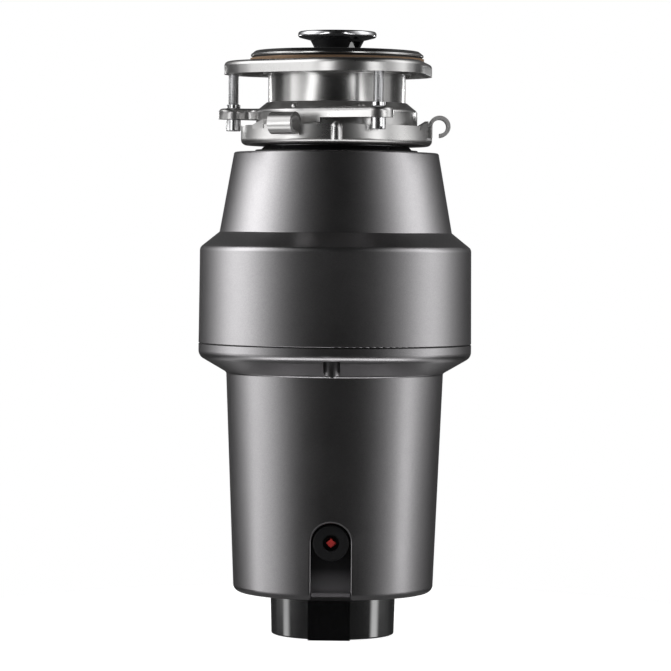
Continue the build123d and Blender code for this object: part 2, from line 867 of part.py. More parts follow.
def make_upper_housing():
    """Painted upper shell: a straight band, a shoulder and a cone with a seat for the top plate."""
    band_top = seam_top + band_height
    shoulder_top = band_top + shoulder_height
    flange_top_height = seam_top + housing_flange - 2 * fit_gap
    cavity_top = body_top - housing_wall
    with BuildPart() as cavity:
        revolve(half_section([
            (0, seam_top), (flange_hole_radius, seam_top), (flange_hole_radius, flange_top_height),
            (band_bottom_radius - housing_wall, flange_top_height),
            (band_top_radius - housing_wall, band_top - housing_wall / 2),
            (cone_bottom_radius - housing_wall, shoulder_top - housing_wall / 2),
            (plate_seat_radius - plate_seat, cavity_top), (0, cavity_top)]), axis=Axis.Z)
        with BuildSketch(Plane.XY.offset(seam_top)):
            with PolarLocations(pocket_circle, housing_screw_count):
                Circle(housing_boss_radius)
        extrude(amount=housing_screw_grip + housing_boss_roof, mode=Mode.SUBTRACT)
    with BuildPart() as housing:
        revolve(half_section([
            (0, seam_top), (band_bottom_radius, seam_top, band_edge), (band_top_radius, band_top, shoulder_rounding),
            (cone_bottom_radius, shoulder_top, 1.0), (cone_top_radius, body_top, top_rounding),
            (0, body_top)]), axis=Axis.Z)
        add(cavity.part, mode=Mode.SUBTRACT)
        with BuildSketch(Plane.XY.offset(cavity_top)):
            Circle(plate_seat_radius)
        extrude(amount=housing_wall, mode=Mode.SUBTRACT)
        with BuildSketch(facing_plane(90, chamber_flange_radius, outlet_height)):
            add(outlet_outline(room_gap))
        extrude(amount=band_bottom_radius, mode=Mode.SUBTRACT)
        with BuildSketch(Plane.XY.offset(seam_top)):
            with PolarLocations(pocket_circle, housing_screw_count):
                Circle(housing_screw_radius + turn_gap)
        extrude(amount=housing_screw_grip, mode=Mode.SUBTRACT)
    return housing


def make_top_plate():
    """Painted plate that lies on the cone's seat and closes the shell round the hopper's neck."""
    return make_ring(ring_hole_radius, plate_seat_radius - fit_gap, body_top - housing_wall, body_top)


def is_niche_rim(edge):
    """Whether an edge is part of the niche's outline on the painted outside."""
    middle = edge @ 0.5
    ends = [edge @ 0, middle, edge @ 1]
    outside = all(abs((p.X ** 2 + p.Y ** 2) ** 0.5 - lower_outer_radius(p.Z)) < 0.05 for p in ends)
    inside_niche = abs(middle.X) < niche_half_width + 0.1 and middle.Y < 0
    return outside and inside_niche and middle.Z > body_bottom + lower_corner


def make_lower_housing():
    """Painted lower cup round the motor, with a rolled lip, a ledge, screw pockets and the niche."""
    undercut_bottom = seam_bottom - lip_height - undercut_height
    lip_bottom_height = seam_bottom - lip_height
    slope = undercut_height / (band_bottom_radius - lower_top_radius)
    floor_top = body_bottom + housing_wall
    ledge_inner = frame_radius - ledge_width
    ledge_under = ledge_top - ledge_height
    wall_top = ledge_under - ledge_width
    cone_shift = undercut_bottom + 1.2 * housing_wall
    cone_inner = lower_top_radius + (ledge_top - cone_shift) / slope
    lip_inner = band_bottom_radius - housing_wall
    cone_top = cone_shift + slope * (lip_inner - lower_top_radius)
    flange_under = seam_bottom - housing_flange
    roof_height = seam_bottom - pocket_roof
    slot_top = seam_bottom - pocket_slot_drop
    with BuildPart() as cavity:
        revolve(half_section([
            (0, floor_top), (lower_outer_radius(floor_top) - housing_wall, floor_top, inner_corner),
            (lower_outer_radius(wall_top) - housing_wall, wall_top), (ledge_inner, ledge_under),
            (ledge_inner, ledge_top), (cone_inner, ledge_top), (lip_inner, cone_top), (lip_inner, flange_under),
            (flange_hole_radius, flange_under), (flange_hole_radius, seam_bottom), (0, seam_bottom)]), axis=Axis.Z)
        with BuildSketch(Plane.XY.offset(undercut_bottom)):
            with PolarLocations(pocket_circle, housing_screw_count):
                Circle(pocket_boss_radius)
        extrude(amount=lip_height + undercut_height, mode=Mode.SUBTRACT)
        with BuildSketch(Plane.XY.offset(undercut_bottom)):
            with PolarLocations(pocket_circle, housing_screw_count):
                Rectangle(undercut_depth, 2 * pocket_boss_radius, align=(Align.MIN, Align.CENTER))
        extrude(amount=slot_top + pocket_wall - undercut_bottom, mode=Mode.SUBTRACT)
    with BuildPart() as housing:
        revolve(half_section([
            (0, body_bottom), (lower_bottom_radius, body_bottom, lower_corner),
            (lower_top_radius, undercut_bottom, undercut_fillet),
            (band_bottom_radius, lip_bottom_height, lip_rounding),
            (band_bottom_radius, seam_bottom), (0, seam_bottom)]), axis=Axis.Z)
        add(cavity.part, mode=Mode.SUBTRACT)
        with BuildSketch(Plane.XY.offset(undercut_bottom - pocket_radius)):
            with PolarLocations(pocket_circle, housing_screw_count):
                Circle(pocket_radius)
        extrude(amount=roof_height - undercut_bottom + pocket_radius, mode=Mode.SUBTRACT)
        with BuildSketch(Plane.XY.offset(undercut_bottom)):
            with PolarLocations(pocket_circle, housing_screw_count):
                Rectangle(undercut_depth, 2 * pocket_radius, align=(Align.MIN, Align.CENTER))
        extrude(amount=slot_top - undercut_bottom, mode=Mode.SUBTRACT)
        with BuildSketch(Plane.XY.offset(roof_height)):
            with PolarLocations(pocket_circle, housing_screw_count):
                Circle(housing_screw_radius + hole_gap)
        extrude(amount=pocket_roof, mode=Mode.SUBTRACT)
        with BuildSketch(Plane.XY.offset(body_bottom)):
            Circle(lower_floor_hole_radius)
        extrude(amount=housing_wall, mode=Mode.SUBTRACT)
        with BuildSketch(facing_plane(270, panel_front, niche_centre)):
            Circle(niche_half_width)
            Rectangle(2 * niche_half_width, niche_height, align=(Align.CENTER, Align.MAX))
        extrude(amount=band_bottom_radius - panel_front, mode=Mode.SUBTRACT)
        rim = [edge for edge in housing.edges() if is_niche_rim(edge)]
        fillet(rim, radius=niche_edge)
    return housing


def make_housing_seal():
    """Flat rubber seal in the seam between the housings."""
    outer = band_bottom_radius - seal_inset
    return make_ring(outer - seal_width, outer, seam_bottom, seam_top)


def make_housing_screws():
    """Screws that pull the lower housing up to the upper one, heads in the pockets."""
    roof_height = seam_bottom - pocket_roof
    with BuildPart() as screws:
        with BuildSketch(Plane.XY.offset(roof_height - housing_screw_head_height)):
            with PolarLocations(pocket_circle, housing_screw_count):
                Circle(housing_screw_head_radius)
        extrude(amount=housing_screw_head_height)
        with BuildSketch(Plane.XY.offset(roof_height)):
            with PolarLocations(pocket_circle, housing_screw_count):
                Circle(housing_screw_radius)
        extrude(amount=pocket_roof + seal_thickness + housing_screw_grip - pass_gap)
        with BuildSketch(Plane.XY.offset(roof_height - housing_screw_head_height)):
            with PolarLocations(pocket_circle, housing_screw_count):
                Rectangle(housing_screw_head_radius, screw_slot_width)
                Rectangle(screw_slot_width, housing_screw_head_radius)
        extrude(amount=housing_screw_head_height / 2, mode=Mode.SUBTRACT)
    return screws


# Grind chamber


def make_hopper():
    """Drawn hopper: a straight bore round the shredder, a waist up to the neck and a lip on top."""
    neck_bottom = lip_bottom - hopper_neck_height
    bore_top = hopper_bottom + hopper_straight
    flange_top_height = hopper_bottom + hopper_flange_thickness
    outer = hopper_radius + hopper_wall
    neck_bore = hopper_neck_radius - hopper_wall
    with BuildPart() as hopper:
        revolve(half_section([
            (hopper_radius, hopper_bottom), (chamber_flange_radius, hopper_bottom),
            (chamber_flange_radius, flange_top_height), (outer, flange_top_height),
            (outer, bore_top, hopper_rounding), (hopper_neck_radius, neck_bottom, hopper_rounding),
            (hopper_neck_radius, lip_bottom), (hopper_lip_radius, lip_bottom), (hopper_lip_radius, lip_top),
            (neck_bore, lip_top), (neck_bore, neck_bottom, hopper_rounding),
            (hopper_radius, bore_top, hopper_rounding)]), axis=Axis.Z)
        with BuildSketch(Plane.XY.offset(hopper_bottom)):
            with PolarLocations(chamber_screw_circle, chamber_screw_count, start_angle=45):
                Circle(chamber_screw_radius + hole_gap)
        extrude(amount=hopper_flange_thickness, mode=Mode.SUBTRACT)
    return hopper


def make_chamber_screws():
    """Screws that clamp the hopper and the shredder ring on the drain chamber."""
    head_bottom = hopper_bottom + hopper_flange_thickness
    with BuildPart() as screws:
        with BuildSketch(Plane.XY.offset(head_bottom)):
            with PolarLocations(chamber_screw_circle, chamber_screw_count, start_angle=45):
                Circle(chamber_screw_head_radius)
        extrude(amount=chamber_screw_head_height)
        with BuildSketch(Plane.XY.offset(head_bottom - chamber_screw_length)):
            with PolarLocations(chamber_screw_circle, chamber_screw_count, start_angle=45):
                Circle(chamber_screw_radius)
        extrude(amount=chamber_screw_length)
    return screws


def make_sound_jacket():
    """Foam jacket in the space between the hopper and the upper housing."""
    bottom = hopper_bottom + hopper_flange_thickness + chamber_screw_head_height + jacket_gap
    band_top = seam_top + band_height
    shoulder_top = band_top + shoulder_height
    top = body_top - housing_wall - jacket_gap
    neck_bottom = lip_bottom - hopper_neck_height
    bore_top = hopper_bottom + hopper_straight
    wall = housing_wall + jacket_gap
    inner = hopper_radius + hopper_wall + jacket_gap
    neck = hopper_neck_radius + jacket_gap
    with BuildPart() as jacket:
        revolve(half_section([
            (inner, bottom), (band_top_radius - wall, bottom), (band_top_radius - wall, band_top - wall),
            (cone_bottom_radius - wall, shoulder_top - wall), (cone_top_radius - wall - plate_seat, top), (neck, top),
            (neck, neck_bottom + wall, hopper_rounding), (inner, bore_top + wall, hopper_rounding)]), axis=Axis.Z)
    return jacket


def make_drain_chamber():
    """Cast chamber under the turntable: skirt, floor, seal hub, rim and the outlet pipe."""
    hub_radius = shaft_radius + turn_gap + seal_wall + seal_hub_wall
    hub_bottom = chamber_floor_bottom - seal_hub_wall
    hub_top = hub_bottom + shaft_seal_height + seal_hub_wall
    flange_under = chamber_top - chamber_flange_height
    with BuildPart() as chamber:
        revolve(half_section([
            (chamber_bore_radius, upper_frame_top), (chamber_radius, upper_frame_top),
            (chamber_radius, flange_under - chamber_flange_width), (chamber_flange_radius, flange_under),
            (chamber_flange_radius, chamber_top), (chamber_bore_radius, chamber_top)]), axis=Axis.Z)
        with BuildSketch(Plane.XY.offset(chamber_floor_bottom)):
            Circle(chamber_radius)
        extrude(amount=chamber_floor_thickness)
        with BuildSketch(Plane.XY.offset(hub_bottom)):
            Circle(hub_radius)
        extrude(amount=hub_top - hub_bottom)
        with BuildSketch(facing_plane(90, chamber_bore_radius - chamber_wall, outlet_height)):
            Circle(outlet_bore_radius + outlet_wall)
        extrude(amount=outlet_face - chamber_bore_radius + chamber_wall)
        with BuildSketch(Plane.XY.offset(chamber_floor_top)):
            Circle(chamber_bore_radius)
            Circle(hub_radius, mode=Mode.SUBTRACT)
        extrude(amount=chamber_top - chamber_floor_top, mode=Mode.SUBTRACT)
        with BuildSketch(facing_plane(90, outlet_face - outlet_flange_thickness, outlet_height)):
            add(outlet_outline(0))
        extrude(amount=outlet_flange_thickness)
        with BuildSketch(facing_plane(90, chamber_bore_radius - chamber_wall, outlet_height)):
            Circle(outlet_bore_radius)
        extrude(amount=outlet_face, mode=Mode.SUBTRACT)
        screw_hole_start = discharge_face - discharge_screw_length
        with BuildSketch(facing_plane(90, screw_hole_start, outlet_height)):
            with Locations((-outlet_ear_place, 0), (outlet_ear_place, 0)):
                Circle(discharge_screw_radius + turn_gap)
        extrude(amount=outlet_face - screw_hole_start, mode=Mode.SUBTRACT)
        with BuildSketch(Plane.XY.offset(hub_bottom)):
            Circle(hub_radius - seal_hub_wall)
        extrude(amount=hub_top - hub_bottom, mode=Mode.SUBTRACT)
        screw_depth = chamber_screw_length - hopper_flange_thickness
        with BuildSketch(Plane.XY.offset(chamber_top)):
            with PolarLocations(chamber_screw_circle, chamber_screw_count, start_angle=45):
                Circle(chamber_screw_radius + turn_gap)
        extrude(amount=-screw_depth, mode=Mode.SUBTRACT)
    return chamber


def make_shredder_ring():
    """Hard steel ring with slots that the lugs grind against, clamped by its collar."""
    bottom = chamber_top - shredder_drop
    with BuildPart() as ring:
        with BuildSketch(Plane.XY.offset(bottom)):
            Circle(shredder_radius)
        extrude(amount=shredder_height)
        with BuildSketch(Plane.XY.offset(chamber_top)):
            Circle(shredder_radius + shredder_flange_width)
        extrude(amount=shredder_flange_thickness)
        with BuildSketch(Plane.XY.offset(bottom)):
            Circle(shredder_bore_radius)
        extrude(amount=shredder_height, mode=Mode.SUBTRACT)
        with BuildSketch(Plane.XY.offset(bottom)):
            with PolarLocations(shredder_radius, shredder_slot_count):
                Rectangle(4 * shredder_wall, shredder_slot_width)
        extrude(amount=shredder_slot_height, mode=Mode.SUBTRACT)
    return ring


def make_turntable():
    """Steel turntable with its hub and drain holes."""
    with BuildPart() as table:
        with BuildSketch(Plane.XY.offset(turntable_bottom)):
            Circle(turntable_radius)
            with PolarLocations(lug_pivot_radius, turntable_hole_count, start_angle=22.5):
                Circle(turntable_hole_radius, mode=Mode.SUBTRACT)
            with PolarLocations(lug_pivot_radius, 2):
                Circle(rivet_radius + turn_gap, mode=Mode.SUBTRACT)
        extrude(amount=turntable_thickness)
        with BuildSketch(Plane.XY.offset(shaft_shoulder)):
            Circle(turntable_hub_radius)
        extrude(amount=turntable_hub_height)
        with BuildSketch(Plane.XY.offset(shaft_shoulder)):
            Circle(shaft_end_radius + turn_gap)
        extrude(amount=turntable_hub_height + turntable_thickness, mode=Mode.SUBTRACT)
    return table


def make_lug(angle):
    """Swinging grinding lug, thrown outwards as the table turns."""
    with BuildPart() as lug:
        with BuildSketch(Plane.XY.offset(lug_bottom)):
            with Locations(polar(lug_pivot_radius, angle)):
                Circle(lug_root_radius)
            with Locations(polar(lug_pivot_radius + lug_tip_place, angle)):
                Circle(lug_tip_radius)
            make_hull()
            with Locations(polar(lug_pivot_radius, angle)):
                Circle(rivet_radius + turn_gap, mode=Mode.SUBTRACT)
        extrude(amount=lug_thickness)
    return lug


def make_lug_rivets():
    """Shouldered rivets that the lugs swing on."""
    foot = turntable_bottom - rivet_head_height
    with BuildPart() as rivets:
        with BuildSketch(Plane.XY.offset(foot)):
            with PolarLocations(lug_pivot_radius, 2):
                Circle(rivet_head_radius)
        extrude(amount=rivet_head_height)
        with BuildSketch(Plane.XY.offset(turntable_bottom)):
            with PolarLocations(lug_pivot_radius, 2):
                Circle(rivet_radius)
        extrude(amount=rivet_top - turntable_bottom)
        with BuildSketch(Plane.XY.offset(rivet_top - rivet_head_height)):
            with PolarLocations(lug_pivot_radius, 2):
                Circle(rivet_head_radius)
        extrude(amount=rivet_head_height)
    return rivets


def make_turntable_nut():
    """Hexagon nut that holds the turntable on the shaft."""
    with BuildPart() as nut:
        with BuildSketch(Plane.XY.offset(turntable_top)):
            RegularPolygon(nut_across_flats / 2, 6, major_radius=False)
            Circle(shaft_end_radius + turn_gap, mode=Mode.SUBTRACT)
        extrude(amount=nut_height)
    return nut


# Discharge


def make_discharge_gasket():
    """Rubber gasket between the outlet and the tail pipe."""
    with BuildPart() as gasket:
        with BuildSketch(facing_plane(90, outlet_face, outlet_height)):
            Circle(outlet_bore_radius + fit_gap + discharge_gasket_wall)
            Circle(outlet_bore_radius + fit_gap, mode=Mode.SUBTRACT)
        extrude(amount=discharge_gasket_thickness)
    return gasket


def make_discharge_flange():
    """Steel flange that clamps the tail pipe's collar."""
    with BuildPart() as flange:
        with BuildSketch(facing_plane(90, discharge_flange_back, outlet_height)):
            add(outlet_outline(0))
            Circle(outlet_bore_radius + room_gap, mode=Mode.SUBTRACT)
            with Locations((-outlet_ear_place, 0), (outlet_ear_place, 0)):
                Circle(discharge_screw_radius + hole_gap, mode=Mode.SUBTRACT)
        extrude(amount=discharge_flange_thickness)
    return flange


def make_discharge_screws():
    """Two screws that hold the discharge flange."""
    with BuildPart() as screws:
        with BuildSketch(facing_plane(90, discharge_face, outlet_height)):
            with Locations((-outlet_ear_place, 0), (outlet_ear_place, 0)):
                Circle(discharge_screw_head_radius)
        extrude(amount=discharge_screw_head_height)
        with BuildSketch(facing_plane(90, discharge_face - discharge_screw_length, outlet_height)):
            with Locations((-outlet_ear_place, 0), (outlet_ear_place, 0)):
                Circle(discharge_screw_radius)
        extrude(amount=discharge_screw_length)
    return screws


# Motor


def make_shaft():
    """Motor shaft with a thinner end for the turntable."""
    with BuildPart() as shaft:
        with BuildSketch(Plane.XY.offset(shaft_bottom)):
            Circle(shaft_radius)
        extrude(amount=shaft_shoulder - shaft_bottom)
        with BuildSketch(Plane.XY.offset(shaft_shoulder)):
            Circle(shaft_end_radius)
        extrude(amount=shaft_top - shaft_shoulder)
    return shaft


def make_end_frame(bottom, radius, rim_start, rim_end, hub_start, hub_end):
    """Cast motor end frame: a plate, a rim towards the stator and a hub for the bush."""
    bush_radius = shaft_radius + turn_gap + bush_wall
    with BuildPart() as frame:
        with BuildSketch(Plane.XY.offset(bottom)):
            Circle(radius)
        extrude(amount=end_frame_thickness)
        with BuildSketch(Plane.XY.offset(rim_start)):
            Circle(stator_radius)
            Circle(stator_radius - frame_rim_width, mode=Mode.SUBTRACT)
        extrude(amount=rim_end - rim_start)
        with BuildSketch(Plane.XY.offset(hub_start)):
            Circle(bush_radius + hub_wall)
        extrude(amount=hub_end - hub_start)
        with BuildSketch(Plane.XY.offset(hub_start)):
            Circle(bush_radius + turn_gap)
        extrude(amount=hub_end - hub_start, mode=Mode.SUBTRACT)
        with BuildSketch(Plane.XY.offset(min(bottom, rim_start))):
            with PolarLocations(bolt_circle, motor_bolt_count, start_angle=45):
                Circle(motor_bolt_radius + hole_gap)
        extrude(amount=max(rim_end, bottom + end_frame_thickness) - min(bottom, rim_start), mode=Mode.SUBTRACT)
    return frame


def make_stator_core():
    """Stack of steel sheets with slots for the windings."""
    bore = rotor_radius + air_gap
    with BuildPart() as core:
        with BuildSketch(Plane.XY.offset(stator_bottom)):
            Circle(stator_radius)
            Circle(bore, mode=Mode.SUBTRACT)
            with PolarLocations(bore + stator_slot_depth, stator_slot_count):
                Rectangle(stator_slot_depth, stator_slot_width, mode=Mode.SUBTRACT)
            with PolarLocations(bolt_circle, motor_bolt_count, start_angle=45):
                Circle(motor_bolt_radius + hole_gap, mode=Mode.SUBTRACT)
        extrude(amount=stator_top - stator_bottom)
    return core


def make_stator_windings():
    """Windings: bars in the slots, joined by the end turns above and below the core."""
    bore = rotor_radius + air_gap
    inner = bore + 2 * end_ring_inset
    with BuildPart() as windings:
        for bottom in (stator_bottom - winding_height, stator_top):
            with BuildSketch(Plane.XY.offset(bottom)):
                Circle(inner + winding_wall)
                Circle(inner, mode=Mode.SUBTRACT)
            extrude(amount=winding_height)
        with BuildSketch(Plane.XY.offset(stator_bottom)):
            with PolarLocations(bore + stator_slot_depth, stator_slot_count):
                Rectangle(stator_slot_depth - 2 * fit_gap, stator_slot_width - 2 * fit_gap)
        extrude(amount=stator_top - stator_bottom)
    return windings


def make_rotor_end_rings():
    """Cast aluminium end rings of the rotor."""
    with BuildPart() as rings:
        for bottom in (stator_bottom - end_ring_height, stator_top):
            with BuildSketch(Plane.XY.offset(bottom)):
                Circle(rotor_radius - end_ring_inset)
                Circle(end_ring_inner_radius, mode=Mode.SUBTRACT)
            extrude(amount=end_ring_height)
    return rings


def make_motor_bolts():
    """Long bolts that clamp the stator between the end frames."""
    with BuildPart() as bolts:
        with BuildSketch(Plane.XY.offset(lower_frame_bottom - motor_bolt_head_height)):
            with PolarLocations(bolt_circle, motor_bolt_count, start_angle=45):
                Circle(motor_bolt_head_radius)
        extrude(amount=motor_bolt_head_height)
        with BuildSketch(Plane.XY.offset(lower_frame_bottom)):
            with PolarLocations(bolt_circle, motor_bolt_count, start_angle=45):
                Circle(motor_bolt_radius)
        extrude(amount=upper_frame_top - lower_frame_bottom - pass_gap)
    return bolts


# Reset switch


def make_switch_panel():
    """Dark panel behind the niche, standing on the housing floor, with a small shelf."""
    floor_top = body_bottom + housing_wall
    half_width = niche_half_width + panel_overlap
    shelf_top = body_bottom + panel_shelf_height + panel_shelf_thickness
    with BuildPart() as panel:
        with BuildSketch(facing_plane(270, panel_back, niche_centre)):
            Circle(half_width)
            Rectangle(2 * half_width, niche_centre - floor_top, align=(Align.CENTER, Align.MAX))
            Circle(button_half_diagonal + pass_gap, mode=Mode.SUBTRACT)
        extrude(amount=panel_thickness)
        with BuildSketch(facing_plane(270, panel_front, shelf_top)):
            Rectangle(2 * (niche_half_width - pass_gap), panel_shelf_thickness, align=(Align.CENTER, Align.MAX))
        extrude(amount=panel_shelf_reach)
    return panel


def make_button_bezel():
    """Round black collar round the reset button."""
    with BuildPart() as bezel:
        with BuildSketch(facing_plane(270, panel_front, niche_centre)):
            Circle(bezel_radius)
        extrude(amount=bezel_depth)
        fillet(bezel.edges().group_by(Axis.Y)[0], radius=bezel_rounding)
        with BuildSketch(facing_plane(270, panel_front, niche_centre)):
            Circle(bezel_bore_radius)
        extrude(amount=bezel_depth, mode=Mode.SUBTRACT)
    return bezel


def make_reset_button():
    """Square plunger on its corner, with a collar behind the panel."""
    with BuildPart() as button:
        with BuildSketch(facing_plane(270, collar_back, niche_centre)):
            Circle(button_collar_radius)
        extrude(amount=button_collar_thickness)
        with BuildSketch(facing_plane(270, collar_front, niche_centre)):
            RegularPolygon(button_half_diagonal, 4)
        extrude(amount=bezel_front - button_recess - collar_front)
    return button


def make_reset_spring():
    """Return spring between the collar and the overload protector."""
    with BuildPart() as spring:
        with BuildSketch(facing_plane(270, protector_front, niche_centre)):
            Circle(spring_outer_radius)
            Circle(spring_outer_radius - spring_wire, mode=Mode.SUBTRACT)
        extrude(amount=button_travel_room)
    return spring


def make_overload_protector():
    """Thermal overload switch, held off the panel by two posts."""
    with BuildPart() as protector:
        with BuildSketch(facing_plane(270, protector_front, niche_centre)):
            Rectangle(protector_width, protector_height)
        extrude(amount=-protector_depth)
        with BuildSketch(facing_plane(270, protector_front, niche_centre)):
            with Locations((-protector_post_place, 0), (protector_post_place, 0)):
                Circle(protector_post_radius)
        extrude(amount=panel_back - protector_front)
    return protector


def make_run_capacitor():
    """Motor run capacitor, a can with two tabs, standing on the housing floor."""
    bottom = body_bottom + housing_wall
    with BuildPart() as capacitor:
        with BuildSketch(Plane.XY.offset(bottom)):
            with Locations((0, capacitor_place)):
                Circle(capacitor_radius)
        extrude(amount=capacitor_height)
        with BuildSketch(Plane.XY.offset(bottom + capacitor_height)):
            with Locations((-capacitor_radius / 2, capacitor_place), (capacitor_radius / 2, capacitor_place)):
                Rectangle(1.0, capacitor_radius / 2)
        extrude(amount=capacitor_tab_height)
    return capacitor


# Foot


def make_base_cap():
    """Black foot and wiring cover, with a flat boss at the front and three screw posts."""
    with BuildPart() as cap:
        revolve(half_section([
            (0, 0), (foot_bottom_radius, 0, 1.0), (foot_top_radius, foot_height), (0, foot_height)]), axis=Axis.Z)
        with BuildSketch():
            with Locations((-foot_boss_shift, -foot_bottom_radius - foot_boss_reach)):
                Rectangle(foot_boss_width, foot_bottom_radius, align=(Align.CENTER, Align.MIN))
        extrude(amount=foot_height - foot_boss_drop)
        with BuildSketch():
            Circle(foot_bore_radius)
        extrude(amount=foot_height, mode=Mode.SUBTRACT)
        with BuildSketch(Plane.XY.offset(foot_plate_thickness)):
            with PolarLocations(foot_post_circle, foot_screw_count, start_angle=foot_screw_angle):
                Circle(foot_post_radius)
        extrude(amount=foot_height - foot_plate_thickness)
        with BuildSketch(Plane.XY.offset(foot_plate_thickness)):
            with PolarLocations(foot_post_circle, foot_screw_count, start_angle=foot_screw_angle):
                Circle(foot_screw_radius + turn_gap)
        extrude(amount=foot_screw_length, mode=Mode.SUBTRACT)
        with BuildSketch(facing_plane(90, foot_bore_radius - foot_wall, inlet_height)):
            Circle(inlet_hole_radius)
        extrude(amount=3 * foot_wall, mode=Mode.SUBTRACT)
    return cap


def make_base_plate():
    """Steel plate that closes the foot from below."""
    with BuildPart() as plate:
        with BuildSketch():
            Circle(foot_bore_radius - fit_gap)
            with PolarLocations(foot_post_circle, foot_screw_count, start_angle=foot_screw_angle):
                Circle(foot_screw_radius + hole_gap, mode=Mode.SUBTRACT)
            with Locations((-ground_screw_place, 0)):
                Circle(ground_screw_radius + turn_gap, mode=Mode.SUBTRACT)
        extrude(amount=foot_plate_thickness)
        with BuildSketch():
            with PolarLocations(foot_post_circle, foot_screw_count, start_angle=foot_screw_angle):
                Circle(foot_screw_head_radius + hole_gap)
        extrude(amount=foot_screw_sink + foot_screw_head_height, mode=Mode.SUBTRACT)
    return plate


def make_base_screws():
    """Screws that hold the base plate, with their heads sunk in it."""
    head_top = foot_screw_sink + foot_screw_head_height
    with BuildPart() as screws:
        with BuildSketch(Plane.XY.offset(foot_screw_sink)):
            with PolarLocations(foot_post_circle, foot_screw_count, start_angle=foot_screw_angle):
                Circle(foot_screw_head_radius)
        extrude(amount=foot_screw_head_height)
        with BuildSketch(Plane.XY.offset(head_top)):
            with PolarLocations(foot_post_circle, foot_screw_count, start_angle=foot_screw_angle):
                Circle(foot_screw_radius)
        extrude(amount=foot_screw_length - foot_screw_sink)
    return screws


def make_cable_grommet():
    """Rubber grommet in the cable inlet."""
    inner_end = foot_bore_radius - grommet_depth
    flange_start = foot_top_radius + fit_gap
    with BuildPart() as grommet:
        with BuildSketch(facing_plane(90, inner_end, inlet_height)):
            Circle(inlet_hole_radius - fit_gap)
        extrude(amount=flange_start - inner_end)
        with BuildSketch(facing_plane(90, flange_start, inlet_height)):
            Circle(grommet_flange_radius)
        extrude(amount=grommet_flange_thickness)
        with BuildSketch(facing_plane(90, inner_end, inlet_height)):
            Circle(cable_bore_radius)
        extrude(amount=flange_start + grommet_flange_thickness - inner_end, mode=Mode.SUBTRACT)
    return grommet


def make_terminal_block():
    """Terminal block for the supply cores, on the base plate."""
    bottom = foot_plate_thickness
    with BuildPart() as block:
        with BuildSketch(Plane.XY.offset(bottom)):
            Rectangle(terminal_width, terminal_depth)
        extrude(amount=terminal_height)
        with BuildSketch(facing_plane(90, -terminal_depth / 2, bottom + terminal_height / 2)):
            with Locations((-terminal_width / 3, 0), (0, 0), (terminal_width / 3, 0)):
                Circle(terminal_hole_radius)
        extrude(amount=terminal_depth, mode=Mode.SUBTRACT)
    return block


def make_ground_screw():
    """Earth screw in the base plate."""
    with BuildPart() as screw:
        with BuildSketch(Plane.XY.offset(foot_plate_thickness)):
            with Locations((-ground_screw_place, 0)):
                Circle(ground_screw_head_radius)
        extrude(amount=ground_screw_head_height)
        with BuildSketch():
            with Locations((-ground_screw_place, 0)):
                Circle(ground_screw_radius)
        extrude(amount=foot_plate_thickness)
    return screw


# Write every piece

os.makedirs("parts", exist_ok=True)

save(make_stopper_cap(), "stopper_cap")
save(make_stopper_stem(), "stopper_stem")
save(make_stopper_seal(), "stopper_seal")

save(make_sink_flange(), "sink_flange")
save(make_ring(neck_radius + fit_gap, rim_radius - rim_gasket_inset, rim_gasket_bottom, rim_bottom), "rim_gasket")
save(make_ring(neck_radius + flange_hole_gap, rim_radius + fibre_overhang, flange_top, fibre_top), "fibre_gasket")
save(make_backup_flange(), "backup_flange")
save(make_mounting_ring(), "mounting_ring")
save(make_snap_ring(), "snap_ring")
for side, angle in zip(("left", "front", "rear"), screw_angles):
    save(make_mount_screw(angle), f"mount_screw_{side}")
    save(make_screw_clip(angle), f"screw_clip_{side}")
save(make_lock_ring(), "lock_ring")
save(make_neck_cushion(), "neck_cushion")
save(make_splash_guard(), "splash_guard")

save(make_upper_housing(), "upper_housing")
save(make_top_plate(), "top_plate")
save(make_lower_housing(), "lower_housing")
save(make_housing_seal(), "housing_seal")
save(make_housing_screws(), "housing_screws")

save(make_hopper(), "hopper")
save(make_chamber_screws(), "chamber_screws")
save(make_sound_jacket(), "sound_jacket")
save(make_drain_chamber(), "drain_chamber")
save(make_shredder_ring(), "shredder_ring")
save(make_turntable(), "turntable")
save(make_lug(0), "lug_a")
save(make_lug(180), "lug_b")
save(make_lug_rivets(), "lug_rivets")
save(make_turntable_nut(), "turntable_nut")

save(make_discharge_gasket(), "discharge_gasket")
save(make_discharge_flange(), "discharge_flange")
save(make_discharge_screws(), "discharge_screws")

save(make_shaft(), "shaft")
seal_inner_radius = shaft_radius + turn_gap
shaft_seal_bottom = chamber_floor_bottom
save(make_ring(seal_inner_radius, seal_inner_radius + seal_wall - turn_gap, shaft_seal_bottom,
               shaft_seal_bottom + shaft_seal_height), "shaft_seal")
slinger_bottom = upper_bush_top + slinger_lift
save(make_ring(shaft_radius + turn_gap, slinger_radius, slinger_bottom, slinger_bottom + slinger_thickness),
     "water_slinger")
save(make_ring(shaft_radius + turn_gap, shaft_radius + turn_gap + bush_wall, lower_bush_bottom,
               lower_bush_bottom + bush_length), "lower_bush")
save(make_ring(shaft_radius + turn_gap, shaft_radius + turn_gap + bush_wall, upper_bush_top - bush_length,
               upper_bush_top), "upper_bush")
save(make_end_frame(lower_frame_bottom, stator_radius, lower_frame_top, stator_bottom, lower_bush_bottom,
                    lower_bush_bottom + bush_length), "lower_end_frame")
save(make_end_frame(ledge_top, frame_radius, stator_top, ledge_top, upper_bush_top - bush_length,
                    upper_bush_top), "upper_end_frame")
save(make_stator_core(), "stator_core")
save(make_stator_windings(), "stator_windings")
save(make_ring(shaft_radius + turn_gap, rotor_radius, stator_bottom, stator_top), "rotor_core")
save(make_rotor_end_rings(), "rotor_end_rings")
save(make_motor_bolts(), "motor_bolts")

